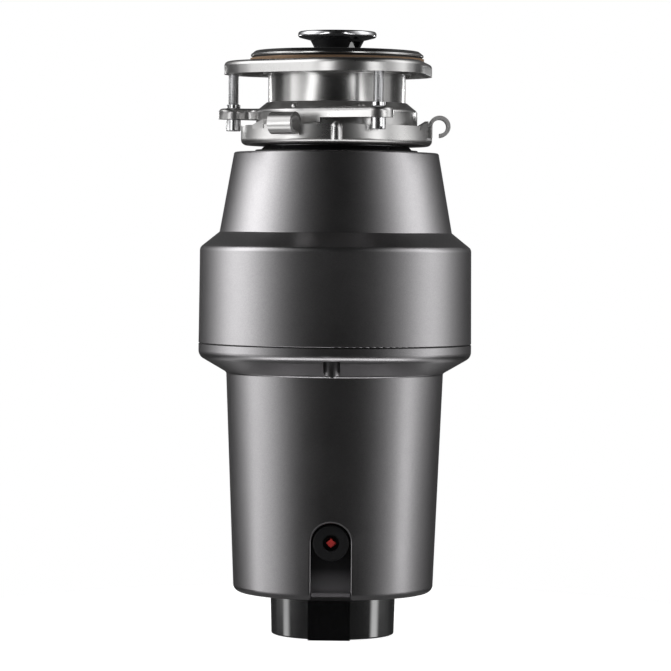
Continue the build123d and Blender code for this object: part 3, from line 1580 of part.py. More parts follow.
save(make_switch_panel(), "switch_panel")
save(make_button_bezel(), "button_bezel")
save(make_reset_button(), "reset_button")
save(make_reset_spring(), "reset_spring")
save(make_overload_protector(), "overload_protector")
save(make_run_capacitor(), "run_capacitor")

save(make_base_cap(), "base_cap")
save(make_base_plate(), "base_plate")
save(make_base_screws(), "base_screws")
save(make_cable_grommet(), "cable_grommet")
save(make_terminal_block(), "terminal_block")
save(make_ground_screw(), "ground_screw")
print("pieces written:", len(os.listdir("parts")))
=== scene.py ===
# %% [markdown]
# # A food waste disposer, dressed in Blender
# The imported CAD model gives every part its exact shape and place. This lesson adds what
# CAD leaves out: a studio, the finishes of metal, paint, plastic and rubber, and the small
# shapes that repeat, such as screw threads and a coiled spring.
# The first step loads the model. Nothing else is read from disk.
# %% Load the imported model
import json
import math

import bpy
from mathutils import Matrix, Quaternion, Vector


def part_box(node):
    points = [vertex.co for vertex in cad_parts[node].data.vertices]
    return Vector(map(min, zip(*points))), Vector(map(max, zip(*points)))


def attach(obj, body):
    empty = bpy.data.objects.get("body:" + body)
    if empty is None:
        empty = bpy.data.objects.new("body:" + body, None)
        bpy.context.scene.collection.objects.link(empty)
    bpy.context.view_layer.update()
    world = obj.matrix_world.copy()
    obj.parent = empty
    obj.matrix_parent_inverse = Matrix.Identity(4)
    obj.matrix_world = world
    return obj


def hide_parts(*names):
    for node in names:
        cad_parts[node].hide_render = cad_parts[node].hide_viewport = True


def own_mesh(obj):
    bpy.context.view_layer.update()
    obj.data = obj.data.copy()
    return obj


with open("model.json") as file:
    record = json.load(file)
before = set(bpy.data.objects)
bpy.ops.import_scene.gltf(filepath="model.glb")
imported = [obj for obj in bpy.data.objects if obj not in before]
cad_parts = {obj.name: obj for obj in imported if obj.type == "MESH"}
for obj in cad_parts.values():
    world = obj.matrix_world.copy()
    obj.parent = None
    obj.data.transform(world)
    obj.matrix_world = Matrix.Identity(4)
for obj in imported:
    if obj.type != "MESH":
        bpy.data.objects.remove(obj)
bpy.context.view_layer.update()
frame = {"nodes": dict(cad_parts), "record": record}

nodes = frame["nodes"]
scene = bpy.context.scene

# %% [markdown]
# ## Small helpers for node trees
# Materials, the world and Geometry Nodes are all trees of nodes. They could be built by
# hand in the editor. Writing them in code keeps every number in sight, so these helpers
# make a node, set it and wire it in one line.
# %% Helpers for any node
def add(tree, kind, inputs=None, **settings):
    """Add a node, with its settings, and fill its inputs with values or wires."""
    node = tree.nodes.new(kind)
    for name, value in settings.items():
        setattr(node, name, value)
    for key, value in (inputs or {}).items():
        if isinstance(value, bpy.types.NodeSocket):
            tree.links.new(value, node.inputs[key])
        else:
            node.inputs[key].default_value = value
    return node


def calc(tree, operation, *values):
    """The result of a sum on sockets or numbers."""
    return add(tree, "ShaderNodeMath", dict(enumerate(values)), operation=operation).outputs[0]


def split(tree, vector):
    """The X, Y and Z of a vector."""
    return add(tree, "ShaderNodeSeparateXYZ", {0: vector}).outputs


def combine(tree, **parts):
    """A vector from its X, Y and Z."""
    return add(tree, "ShaderNodeCombineXYZ", parts).outputs[0]


print("helpers:", [helper.__name__ for helper in (add, calc, split, combine)])

# %% [markdown]
# Three more helpers shape a value. One runs between two limits while its source runs
# between two others, one blends two values, and one follows a curve through stops.
# %% Helpers that shape a value
def span(tree, value, start, end, low=0.0, high=1.0, **settings):
    """A value that runs from low to high while another runs from start to end."""
    limits = {"From Min": start, "From Max": end, "To Min": low, "To Max": high}
    return add(tree, "ShaderNodeMapRange", {"Value": value, **limits}, **settings).outputs["Result"]


def mix(tree, factor, first, second):
    """A value between two others."""
    return add(tree, "ShaderNodeMix", {"Factor": factor, "A": first, "B": second}).outputs["Result"]


def ramp(tree, factor, stops):
    """Grey levels along a factor, eased between the stops."""
    node = add(tree, "ShaderNodeValToRGB", {"Fac": factor})
    node.color_ramp.interpolation = "EASE"
    while len(node.color_ramp.elements) < len(stops):
        node.color_ramp.elements.new(0.5)
    for element, (place, level) in zip(node.color_ramp.elements, stops):
        element.position = place
        element.color = (level, level, level, 1)
    return node.outputs["Color"]


print("helpers:", [helper.__name__ for helper in (span, mix, ramp)])

# %% [markdown]
# ## The camera
# The photograph was taken from far away with a long lens, a little above the middle, so
# the upright sides look parallel. A camera near the object with a short lens would make
# the foot look too small. The distance and the scale in the picture give the lens.
# The real picture leans by half a degree, and the camera rolls by as much. It also stands
# about a degree to the right of the front, which puts the niche a little left of the middle.
# %% Camera
picture_pixels = 671
metres_per_pixel = 0.00065
camera_distance = 2.21
camera_height = 0.264
aim_height = 0.194
axis_shift = 0.0004
lean_degrees = 0.48
side_degrees = 1.3

camera_data = bpy.data.cameras.new("photo_camera")
camera_data.sensor_width = 36
camera_data.lens = camera_data.sensor_width * camera_distance / (picture_pixels * metres_per_pixel)
camera = bpy.data.objects.new("photo_camera", camera_data)
scene.collection.objects.link(camera)
side = math.radians(side_degrees)
aside = Vector((math.cos(side), math.sin(side), 0)) * axis_shift
backwards = Vector((math.sin(side), -math.cos(side), 0)) * camera_distance
camera.location = aside + backwards + Vector((0, 0, camera_height))
look = aside + Vector((0, 0, aim_height)) - camera.location
lean = Quaternion((0, 0, 1), math.radians(lean_degrees))
camera.rotation_euler = (look.to_track_quat("-Z", "Y") @ lean).to_euler()
scene.camera = camera
scene.view_settings.view_transform = "Standard"
print("lens in mm:", round(camera_data.lens, 1))

# %% [markdown]
# ## The studio
# Dark metallic paint and bright metal show little of their own colour: what the eye reads
# is the room. The real room has a tall soft light on each side and darkness behind the
# camera, so every round part is dark in the middle with a bright stripe near each side.
# Lamps could do this, but a world that is brighter in some directions than in others
# gives the same stripes with no noise. Brightness depends on the direction round the
# object and on the height. Straight overhead the room is dark again, and below level the
# stripes lean a little towards the camera.
# %% Directions in the room
room_turn = {
    "left": [(0.00, 0.004), (0.064, 0.006), (0.128, 0.017), (0.194, 0.038), (0.262, 0.112), (0.333, 0.312),
             (0.41, 0.67), (0.45, 0.86), (0.494, 1.00), (0.54, 0.96), (0.59, 0.74), (0.646, 0.42),
             (0.713, 0.176), (0.80, 0.044), (0.88, 0.022), (1.00, 0.03)],
    "right": [(0.00, 0.004), (0.064, 0.005), (0.128, 0.011), (0.194, 0.025), (0.262, 0.085), (0.333, 0.216),
              (0.41, 0.48), (0.45, 0.65), (0.494, 0.74), (0.54, 0.69), (0.59, 0.46), (0.646, 0.23),
              (0.713, 0.104), (0.80, 0.036), (0.88, 0.022), (1.00, 0.03)]}
room_rise = [(0.03, 0.03), (0.25, 0.11), (0.40, 0.33), (0.45, 0.56), (0.50, 0.73), (0.67, 1.00)]
seam_half_width = 0.1
lean_below_level = -0.5

world = bpy.data.worlds.new("studio")
scene.world = world
world.use_nodes = True
room = world.node_tree
room.nodes.clear()
direction = add(room, "ShaderNodeVectorRotate", {
    "Vector": add(room, "ShaderNodeTexCoord").outputs["Generated"], "Angle": -side}, rotation_type="Z_AXIS")
across, along, height = split(room, direction.outputs[0])
turn = calc(room, "ARCTAN2", across, calc(room, "MULTIPLY", along, -1.0))
share = calc(room, "DIVIDE", calc(room, "ABSOLUTE", turn), math.pi)
below = calc(room, "MULTIPLY_ADD", calc(room, "MINIMUM", height, 0.0), lean_below_level, 1.0)
leaning_share = calc(room, "MULTIPLY", share, below)
to_right = span(room, across, -seam_half_width, seam_half_width)
print("stops round the room:", sum(len(stops) for stops in room_turn.values()))

# %% [markdown]
# The stops of a ramp are shares of half a turn, from 0 at the camera to 1 behind the
# object. The left and the right have stops of their own and blend over a narrow seam.
# %% Brightness by direction
def round_about(place, stops):
    """Brightness round the object, from stops on the left and on the right of the camera."""
    return mix(room, to_right, ramp(room, place, stops["left"]), ramp(room, place, stops["right"]))


rise = ramp(room, calc(room, "MULTIPLY_ADD", height, 0.5, 0.5), room_rise)
sides = calc(room, "MULTIPLY", round_about(leaning_share, room_turn), rise)
print("nodes in the room so far:", len(room.nodes))

# %% [markdown]
# ### Narrow strips for the glossy foot
# The foot is glossy black, and it mirrors one thin strip on each side and nothing else.
# Seen from the camera, its sides mirror the room about ten degrees below level, so the
# strips fill only a narrow belt there. The rougher paint blurs the belt away.
# %% Strips
strip_turn = {"left": [(0.0, 0.02), (0.47, 0.02), (0.53, 0.75), (0.555, 0.75), (0.61, 0.02), (1.0, 0.01)],
              "right": [(0.0, 0.02), (0.40, 0.02), (0.455, 1.0), (0.485, 1.0), (0.55, 0.05), (1.0, 0.01)]}
strip_light = 3.0
belt_foot = (-0.21, -0.19)
belt_head = (-0.152, -0.138)
belt = calc(room, "MULTIPLY", span(room, height, *belt_head, 1.0, 0.0), span(room, height, *belt_foot))
belt_angles = [round(math.degrees(math.asin(-edge)), 1) for edge in (belt_head[1], belt_foot[0])]
print("belt in degrees below level:", belt_angles)

# %% [markdown]
# ### Light from the floor
# The pale floor in front throws light up, which shows as a bright line under the lip and
# in the corner below it. It comes from well below level, so the upright walls miss it.
# %% Floor light and the whole room
side_light = 3.15
overhead = 0.01
floor_light = 2.6
floor_rise = [(0.0, 0.0), (0.44, 0.0), (0.53, 0.3), (0.62, 1.0), (0.74, 1.0), (0.83, 0.1), (1.0, 0.03)]
floor_turn = [(0.0, 1.0), (0.30, 1.0), (0.55, 0.25), (1.0, 0.25)]
overhead_heights = (0.62, 0.86)

from_floor = calc(room, "MULTIPLY", ramp(room, calc(room, "MULTIPLY", height, -1.0), floor_rise),
                  ramp(room, share, floor_turn))
wide_light = calc(room, "MULTIPLY", sides, side_light)
narrow_light = calc(room, "MULTIPLY", round_about(share, strip_turn), strip_light)
level = mix(room, belt, wide_light, narrow_light)
overhead_share = span(room, height, *overhead_heights, interpolation_type="SMOOTHSTEP")
soft = calc(room, "MULTIPLY_ADD", from_floor, floor_light, mix(room, overhead_share, level, overhead))
print("side light strength:", side_light)

# %% [markdown]
# ### What the camera sees
# The camera itself sees plain white, so that the background stays clean.
# %% Background
white = (1, 1, 1, 1)
rays = add(room, "ShaderNodeLightPath")
seen = calc(room, "MAXIMUM", rays.outputs["Is Camera Ray"], rays.outputs["Is Transmission Ray"])
backdrop = add(room, "ShaderNodeBackground", {"Color": white, "Strength": mix(room, seen, soft, 1.0)})
add(room, "ShaderNodeOutputWorld", {"Surface": backdrop.outputs[0]})
print("nodes in the finished room:", len(room.nodes))

# %% [markdown]
# ## Small lamps for the bright metal
# The mount is satin metal, and its stripes are brighter and nearer to the middle than on
# the paint. Two flat lamps stand close to it in front and two behind, at the mount's own
# height. They would leave white streaks on the paint, so they are linked to the pieces of
# the mount and light nothing else.
# %% Lamps at the mount
lamp_distance = 0.24
mount_pieces = bpy.data.collections.new("mount_pieces")
for node in ("sink_flange", "backup_flange", "mounting_ring", "lock_ring", "stopper_cap", "stopper_stem",
             "screw_clip_left", "screw_clip_front", "screw_clip_rear"):
    mount_pieces.objects.link(bpy.data.objects[node])


def soft_box(name, angle, height, width, tall, watts):
    """A flat lamp at an angle from the camera's side, turned towards the axis."""
    lamp = bpy.data.lights.new(name, "AREA")
    lamp.shape = "RECTANGLE"
    lamp.size = width
    lamp.size_y = tall
    lamp.energy = watts
    box = bpy.data.objects.new(name, lamp)
    scene.collection.objects.link(box)
    turn = math.radians(angle + side_degrees)
    box.location = (lamp_distance * math.sin(turn), -lamp_distance * math.cos(turn), height)
    box.rotation_euler = (-box.location + Vector((0, 0, height))).to_track_quat("-Z", "Z").to_euler()
    box.visible_camera = False
    box.light_linking.receiver_collection = mount_pieces


soft_box("front_left", angle=-43, height=0.346, width=0.20, tall=0.040, watts=0.070)
soft_box("front_right", angle=36, height=0.346, width=0.17, tall=0.040, watts=0.060)
soft_box("back_left", angle=-138, height=0.352, width=0.055, tall=0.020, watts=0.022)
soft_box("back_right", angle=138, height=0.352, width=0.055, tall=0.020, watts=0.022)

# %% [markdown]
# ### Cards between the lamps
# A grey card and a dark card stand on each side of the mount. They give the metal the
# black stripe that makes it look like metal: bright parts only look bright beside dark
# ones. Photographers call such cards flags. A card glows a little instead of being lit,
# which adds no noise, and only reflections see it.
# %% Glow and flat faces
def bare_material(name):
    """A material without nodes; gives the material and its empty tree."""
    material = bpy.data.materials.new(name)
    material.use_nodes = True
    material.node_tree.nodes.clear()
    return material, material.node_tree


def glowing(name, strength):
    """A material that gives an even white light and nothing else."""
    finish, tree = bare_material(name)
    glow = add(tree, "ShaderNodeEmission", {"Color": white, "Strength": strength}).outputs[0]
    add(tree, "ShaderNodeOutputMaterial", {"Surface": glow})
    return finish


def flat_piece(name, corners, finish):
    """One flat face through its corners, with a finish."""
    mesh = bpy.data.meshes.new(name)
    mesh.from_pydata(corners, [], [list(range(len(corners)))])
    mesh.materials.append(finish)
    piece = bpy.data.objects.new(name, mesh)
    scene.collection.objects.link(piece)
    return piece


print("helpers:", [helper.__name__ for helper in (bare_material, glowing, flat_piece)])

# %% [markdown]
# The cards are set by the angle from the camera's side where each begins and ends.
# %% Cards
card_distance = 0.15
card_bottom = 0.334
card_top = 0.385
card_glow = {"grey": 0.55, "dark": 0.06}
card_angles = {"grey": (72, 88), "dark": (88, 113)}


def flag(name, from_angle, to_angle, glow):
    """An upright card that only reflections see, with a little light of its own."""
    turns = [math.radians(angle + side_degrees) for angle in (from_angle, to_angle)]
    edge = [(card_distance * math.sin(turn), -card_distance * math.cos(turn)) for turn in turns]
    corners = [(*edge[0], card_bottom), (*edge[1], card_bottom), (*edge[1], card_top), (*edge[0], card_top)]
    card = flat_piece(name, corners, glowing(name, glow))
    card.visible_camera = False
    card.visible_shadow = False


for side_name, sign in (("left", -1), ("right", 1)):
    for kind, (from_angle, to_angle) in card_angles.items():
        flag(f"{kind}_card_{side_name}", sign * from_angle, sign * to_angle, card_glow[kind])
print("cards in degrees from the camera's side:", card_angles)

# %% [markdown]
# ## The floor
# The object stands on a pale floor that melts into the white background. A white floor
# that is only lit would look grey, and more light would spoil the metal. So the floor
# glows a little for the camera alone, and still darkens under the foot. Reflections look
# through it at the room's light from below.
# %% Floor
floor_radius = 0.30
floor_tone = (0.8, 0.8, 0.8, 1)
floor_glow = 0.88


def disc(radius, height):
    """The corners of a level disc."""
    turns = [math.radians(degrees) for degrees in range(0, 360, 5)]
    return [(radius * math.cos(turn), radius * math.sin(turn), height) for turn in turns]


floor_finish, tree = bare_material("pale_floor")
for_camera = add(tree, "ShaderNodeLightPath").outputs["Is Camera Ray"]
camera_glow = calc(tree, "MULTIPLY", for_camera, floor_glow)
glow = add(tree, "ShaderNodeEmission", {"Color": white, "Strength": camera_glow}).outputs[0]
matt = add(tree, "ShaderNodeBsdfDiffuse", {"Color": floor_tone}).outputs[0]
both = add(tree, "ShaderNodeAddShader", {0: glow, 1: matt}).outputs[0]
add(tree, "ShaderNodeOutputMaterial", {"Surface": both})
floor = flat_piece("floor", disc(floor_radius, 0), floor_finish)
floor.visible_glossy = False
print("floor radius in m:", floor_radius)

# %% [markdown]
# ### The shade below the floor
# Near the foot the real floor lies in the object's own shadow. A dark disc below the
# floor stands for that shadow, and only reflections see it.
# %% Floor shade
shade_radius = 0.25
shade_depth = 0.05
shade_glow = 0.12
shade = flat_piece("floor_shade", disc(shade_radius, -shade_depth), glowing("floor_shade", shade_glow))
shade.visible_camera = False
shade.visible_diffuse = False
shade.visible_shadow = False
shade.visible_transmission = False
print("shade in m below the floor:", shade_depth)

# %% [markdown]
# ## Shared effects
# Real surfaces are never one flat colour. Each effect that several finishes share is a
# node group, built once: metal flakes in the paint, soft smudges that change the gloss,
# fine lines left by turning or brushing, and the grain of moulded plastic and rubber.
# A group has named inputs, so each material sets its own size and strength.
# %% Start of a node group
def new_group(name, inputs, outputs):
    """An empty shader group with named sockets; gives the tree, its inputs and its output node."""
    group = bpy.data.node_groups.new(name, "ShaderNodeTree")
    for label, default in inputs.items():
        socket = group.interface.new_socket(label, in_out="INPUT", socket_type="NodeSocketFloat")
        socket.default_value = default
    for label, kind in outputs.items():
        group.interface.new_socket(label, in_out="OUTPUT", socket_type=kind)
    entry = group.nodes.new("NodeGroupInput")
    leave = group.nodes.new("NodeGroupOutput")
    return group, entry.outputs, leave


def deliver(group, leave, results):
    """Wire the results to the group's outputs."""
    for label, socket in results.items():
        group.links.new(socket, leave.inputs[label])


def object_place(group):
    """Where a point is on the object, in metres."""
    return add(group, "ShaderNodeTexCoord").outputs["Object"]


# %% [markdown]
# ### Metal flakes
# Metallic paint holds thin flakes that lie at slightly different angles. Each cell of a
# texture made of cells is one flake: it gets its own tone and tips the normal a little.
# %% Flake group
flake_depth = 0.00008
flakes, entry, leave = new_group(
    "metal_flakes", {"Flakes per Metre": 2600.0, "Strength": 0.1},
    {"Tone": "NodeSocketFloat", "Normal": "NodeSocketVector"})
cells = add(flakes, "ShaderNodeTexVoronoi", {
    "Vector": object_place(flakes), "Scale": entry["Flakes per Metre"]})
tone = add(flakes, "ShaderNodeSeparateColor", {"Color": cells.outputs["Color"]}).outputs["Red"]
tipped = add(flakes, "ShaderNodeBump", {
    "Strength": entry["Strength"], "Distance": flake_depth, "Height": tone})
deliver(flakes, leave, {"Tone": tone, "Normal": tipped.outputs["Normal"]})
print("nodes for the flakes:", len(flakes.nodes))

# %% [markdown]
# ### Smudges
# Handling and wiping leave broad, faint patches where the gloss differs. Two sizes of
# noise make them. The result is a mask from 0 to 1.
# %% Smudge group
finer = 9.0
small_share = 0.35
smudge_contrast = 2.5
smudges, entry, leave = new_group(
    "smudges", {"Patches per Metre": 18.0, "Contrast": 1.0}, {"Mask": "NodeSocketFloat"})
place = object_place(smudges)
broad = add(smudges, "ShaderNodeTexNoise", {
    "Vector": place, "Scale": entry["Patches per Metre"], "Detail": 4.0})
fine_scale = calc(smudges, "MULTIPLY", entry["Patches per Metre"], finer)
small = add(smudges, "ShaderNodeTexNoise", {"Vector": place, "Scale": fine_scale, "Detail": 2.0})
broad_part = calc(smudges, "MULTIPLY", broad.outputs["Fac"], 1 - small_share)
blend = calc(smudges, "MULTIPLY_ADD", small.outputs["Fac"], small_share, broad_part)
centred = calc(smudges, "MULTIPLY", calc(smudges, "SUBTRACT", blend, 0.5), entry["Contrast"])
stretched = calc(smudges, "MULTIPLY_ADD", centred, smudge_contrast, 0.5)
mask = add(smudges, "ShaderNodeClamp", {"Value": stretched}).outputs["Result"]
deliver(smudges, leave, {"Mask": mask})
print("nodes for the smudges:", len(smudges.nodes))

# %% [markdown]
# ### Turning lines
# A part that was spun or turned carries fine lines round its axis. Noise that changes
# with height and radius, but not round the axis, gives just those lines.
# %% Turning group
turning, entry, leave = new_group(
    "turning_lines", {"Lines per Metre": 900.0}, {"Lines": "NodeSocketFloat"})
x, y, z = split(turning, object_place(turning))
radius_squared = calc(turning, "MULTIPLY_ADD", x, x, calc(turning, "MULTIPLY", y, y))
section = combine(turning, X=calc(turning, "SQRT", radius_squared), Y=z)
lines = add(turning, "ShaderNodeTexNoise", {
    "Vector": section, "Scale": entry["Lines per Metre"], "Detail": 2.0, "Roughness": 0.7})
deliver(turning, leave, {"Lines": lines.outputs["Fac"]})
print("nodes for the turning lines:", len(turning.nodes))

# %% [markdown]
# ### Moulded grain
# Plastic and rubber take the faint texture of their mould. A fine noise serves as the
# height for a bump.
# %% Grain group
grain, entry, leave = new_group("moulded_grain", {"Grains per Metre": 1800.0}, {"Height": "NodeSocketFloat"})
speck = add(grain, "ShaderNodeTexNoise", {
    "Vector": object_place(grain), "Scale": entry["Grains per Metre"], "Detail": 3.0, "Roughness": 0.6})
deliver(grain, leave, {"Height": speck.outputs["Fac"]})
print("nodes for the grain:", len(grain.nodes))

# %% [markdown]
# ### Settled dust
# A little dust lies on faces that look up. The mask is the upward part of the normal,
# broken up by noise.
# %% Dust group
patches_per_metre = 160.0
dusty_slopes = (0.35, 0.95)
dust, entry, leave = new_group("settled_dust", {"Amount": 0.3}, {"Mask": "NodeSocketFloat"})
facing = split(dust, add(dust, "ShaderNodeNewGeometry").outputs["Normal"])["Z"]
upward = span(dust, facing, *dusty_slopes)
patchy = add(dust, "ShaderNodeTexNoise", {
    "Vector": object_place(dust), "Scale": patches_per_metre, "Detail": 5.0}).outputs["Fac"]
settled = calc(dust, "MULTIPLY", upward, patchy)
deliver(dust, leave, {"Mask": calc(dust, "MULTIPLY", settled, entry["Amount"])})
print("shared effects:", [group.name for group in bpy.data.node_groups])

# %% [markdown]
# ## Finishes
# Every finish starts from a Principled shader. A short function makes the shader with its
# plain values, and each finish then wires in the effects it needs.
# %% Start of a finish
def new_finish(name, colour, metallic, roughness, **sockets):
    """A material with a Principled shader; gives the material, its tree and the shader."""
    material, tree = bare_material(name)
    shader = add(tree, "ShaderNodeBsdfPrincipled",
                 {"Base Color": (*colour, 1), "Metallic": metallic, "Roughness": roughness})
    for label, value in sockets.items():
        shader.inputs[label.replace("_", " ")].default_value = value
    add(tree, "ShaderNodeOutputMaterial", {"Surface": shader.outputs[0]})
    return material, tree, shader


def effect(tree, group, **values):
    """A shared effect in a material, with its own values."""
    node = add(tree, "ShaderNodeGroup", node_tree=group)
    for label, value in values.items():
        node.inputs[label.replace("_", " ")].default_value = value
    return node.outputs


print("helpers:", [helper.__name__ for helper in (new_finish, effect)])

# %% [markdown]
# Four more helpers turn an effect into something that the shader can use: a value, a
# colour, a normal or a wire. A node that mixes colours keeps its colour sockets behind
# those for numbers and vectors, so they are found by their places.
# %% From effects to the shader
mix_first_colour = 6
mix_second_colour = 7
mix_colour_result = 2


def between(tree, mask, low, high):
    """A value that runs from low to high with a mask."""
    return span(tree, mask, 0.0, 1.0, low, high)


def tint(tree, mask, first, second):
    """A colour that runs from the first to the second with a mask."""
    node = add(tree, "ShaderNodeMix", {"Factor": mask}, data_type="RGBA")
    node.inputs[mix_first_colour].default_value = (*first, 1)
    node.inputs[mix_second_colour].default_value = (*second, 1)
    return node.outputs[mix_colour_result]


def bump(tree, height, distance, strength=1.0):
    """A normal from a height, with the depth in metres."""
    return add(tree, "ShaderNodeBump", {
        "Height": height, "Distance": distance, "Strength": strength}).outputs["Normal"]


def wire(tree, shader, **sockets):
    """Wire effects to the shader's inputs."""
    for label, socket in sockets.items():
        tree.links.new(socket, shader.inputs[label.replace("_", " ")])


print("helpers:", [helper.__name__ for helper in (between, tint, bump, wire)])

# %% [markdown]
# ### Dark metallic paint
# The housings are sprayed in a dark grey with fine flakes. The flakes change tone and
# normal, and smudges change the gloss. The metal part of the shader carries the colour,
# which is why the middle of the body can be nearly black while the sides shine.
# %% Housing paint
finishes = {}
finishes["housing_paint"], tree, shader = new_finish("housing_paint", (0.36, 0.352, 0.36), 1.0, 0.3)
flake = effect(tree, flakes, Strength=0.06)
colour = tint(tree, flake["Tone"], (0.335, 0.328, 0.338), (0.395, 0.386, 0.393))
gloss = between(tree, effect(tree, smudges, Patches_per_Metre=14.0)["Mask"], 0.275, 0.325)
wire(tree, shader, Base_Color=colour, Roughness=gloss, Normal=flake["Normal"])
print("nodes in the paint:", len(tree.nodes))

# %% [markdown]
# ### Bright metals
# The mount is plated and polished, the sink flange is polished stainless steel, and the
# hidden steel parts are only brushed. They differ in how rough they are and in how
# strong the turning lines are, so one function makes them all.
# %% Metals
darker_patches = 0.9
ring_metal = {"colour": (0.52, 0.515, 0.51), "rough": (0.24, 0.34), "lines_per_metre": 500.0,
              "line_depth": 0.000002}


def metal(name, colour, rough, lines_per_metre, line_depth):
    """A bare or plated metal with turning lines; gives its tree, its shader and its uneven gloss."""
    finishes[name], tree, shader = new_finish(name, colour, 1.0, rough[0])
    lines = effect(tree, turning, Lines_per_Metre=lines_per_metre)["Lines"]
    patches = effect(tree, smudges, Patches_per_Metre=40.0)["Mask"]
    uneven = calc(tree, "MULTIPLY_ADD", lines, 0.5, calc(tree, "MULTIPLY", patches, 0.5))
    gloss = between(tree, uneven, *rough)
    darker = tuple(darker_patches * part for part in colour)
    wire(tree, shader, Base_Color=tint(tree, patches, darker, colour), Roughness=gloss,
         Normal=bump(tree, lines, line_depth))
    return tree, shader, gloss


metal("chrome_rim", (0.50, 0.495, 0.49), rough=(0.18, 0.26), lines_per_metre=700.0, line_depth=0.000002)
metal("chrome_ring", **ring_metal)
metal("chrome_cap", (0.80, 0.80, 0.82), rough=(0.10, 0.18), lines_per_metre=500.0, line_depth=0.000001)
metal("steel", (0.60, 0.60, 0.61), rough=(0.24, 0.38), lines_per_metre=1600.0, line_depth=0.000010)
metal("screw_steel", (0.72, 0.72, 0.73), rough=(0.16, 0.26), lines_per_metre=1200.0, line_depth=0.000003)
metal("bronze", (0.62, 0.44, 0.22), rough=(0.30, 0.45), lines_per_metre=1800.0, line_depth=0.000008)
metal("brass_screw", (0.80, 0.62, 0.28), rough=(0.16, 0.28), lines_per_metre=1500.0, line_depth=0.000004)
print("metals:", sorted(set(finishes) - {"housing_paint"}))

# %% [markdown]
# ### The ring with the hooks
# The lock ring is the same metal as the mounting ring. The thin edge of its right hook
# faces the camera and would mirror the dark room behind it. The metal is rougher from
# there outwards, so the hook gathers light from all sides and is paler.
# %% Hooked ring
hook_start = 0.0605
hook_end = 0.0625
hook_roughness = 0.6
tree, shader, gloss = metal("hooked_ring", **ring_metal)
at_hook = span(tree, split(tree, object_place(tree))["X"], hook_start, hook_end)
dull = calc(tree, "MULTIPLY", at_hook, hook_roughness)
wire(tree, shader, Roughness=calc(tree, "MAXIMUM", dull, gloss))
print("rougher from x in mm:", round(1000 * hook_start, 1))

# %% [markdown]
# ### Cast alloy, sheet stack and copper
# Castings have a grainy skin. The stator and the rotor are stacks of thin sheets, which
# show as fine level lines. The windings are copper wires that run round in bundles.
# %% Motor finishes
sheets_per_metre = 2000.0
finishes["cast_alloy"], tree, shader = new_finish("cast_alloy", (0.58, 0.585, 0.59), 1.0, 0.45)
skin = effect(tree, grain, Grains_per_Metre=900.0)["Height"]
wire(tree, shader, Roughness=between(tree, skin, 0.38, 0.58), Normal=bump(tree, skin, 0.00012))

finishes["lamination"], tree, shader = new_finish("lamination", (0.33, 0.335, 0.35), 1.0, 0.4)
level_height = split(tree, object_place(tree))["Z"]
sheet_wave = calc(tree, "PINGPONG", calc(tree, "MULTIPLY", level_height, sheets_per_metre), 1.0)
stained = effect(tree, smudges, Patches_per_Metre=60.0)["Mask"]
wire(tree, shader, Base_Color=tint(tree, sheet_wave, (0.20, 0.20, 0.22), (0.42, 0.42, 0.43)),
     Roughness=between(tree, stained, 0.32, 0.5), Normal=bump(tree, sheet_wave, 0.00008))

finishes["copper"], tree, shader = new_finish("copper", (0.72, 0.36, 0.20), 1.0, 0.3)
strand = effect(tree, turning, Lines_per_Metre=1400.0)["Lines"]
wire(tree, shader, Base_Color=tint(tree, strand, (0.42, 0.16, 0.08), (0.80, 0.42, 0.24)),
     Normal=bump(tree, strand, 0.00025))
print("motor finishes:", [name for name in finishes if name in ("cast_alloy", "lamination", "copper")])

# %% [markdown]
# ### Plastics
# The foot and the stopper's handle are glossy black, and the bezel is matt. The button is
# red. All get mould grain, and the black ones a trace of dust on top, because clean black
# plastic looks like a hole in a picture.
# %% Plastics
dust_roughness = 0.4
colour_under_dust = 0.75
grey_of_dust = 0.10


def plastic(name, colour, rough, grain_depth, dust_amount=0.0, **sockets):
    """Moulded plastic with grain, an uneven gloss and perhaps dust; gives its tree and its shader."""
    finishes[name], tree, shader = new_finish(name, colour, 0.0, rough[0], **sockets)
    patches = effect(tree, smudges, Patches_per_Metre=30.0)["Mask"]
    dusty = effect(tree, dust, Amount=dust_amount)["Mask"]
    lighter = tuple(colour_under_dust * part + grey_of_dust for part in colour)
    gloss = calc(tree, "ADD", between(tree, patches, *rough), calc(tree, "MULTIPLY", dusty, dust_roughness))
    wire(tree, shader, Base_Color=tint(tree, dusty, colour, lighter), Roughness=gloss,
         Normal=bump(tree, effect(tree, grain, Grains_per_Metre=1500.0)["Height"], grain_depth))
    return tree, shader


plastic("black_gloss", (0.010, 0.010, 0.011), rough=(0.08, 0.14), grain_depth=0.000004, dust_amount=0.10,
        Coat_Weight=1.0, Coat_Roughness=0.06, Coat_IOR=1.9)
plastic("black_matte", (0.022, 0.022, 0.024), rough=(0.42, 0.55), grain_depth=0.00004, dust_amount=0.25)
plastic("red_button", (0.86, 0.075, 0.07), rough=(0.25, 0.36), grain_depth=0.00001)
plastic("capacitor", (0.74, 0.75, 0.75), rough=(0.28, 0.38), grain_depth=0.00001, dust_amount=0.1)
plastic("terminal", (0.80, 0.77, 0.66), rough=(0.35, 0.45), grain_depth=0.00003, dust_amount=0.1)
print("finishes so far:", len(finishes))

# %% [markdown]
# ### The panel of the niche
# The panel is darkest at its top, under the edge of the niche, and gets paler downwards.
# This is painted shade under the edge and painted light from the floor: a colour that
# changes with the height stands in for both.
# %% Panel
dark_height = 0.048
pale_height = 0.030
tree, shader = plastic("panel_satin", (0.02, 0.019, 0.021), rough=(0.30, 0.42), grain_depth=0.00002,
                       dust_amount=0.1)
# Painted shade and light: near black at the top of the panel, pale grey at its bottom.
painted_shade_by_height = span(tree, split(tree, object_place(tree))["Z"], dark_height, pale_height)
wire(tree, shader, Base_Color=tint(tree, painted_shade_by_height, (0.018, 0.017, 0.019), (0.26, 0.25, 0.265)))
print("panel pales over mm:", round(1000 * (dark_height - pale_height), 1))

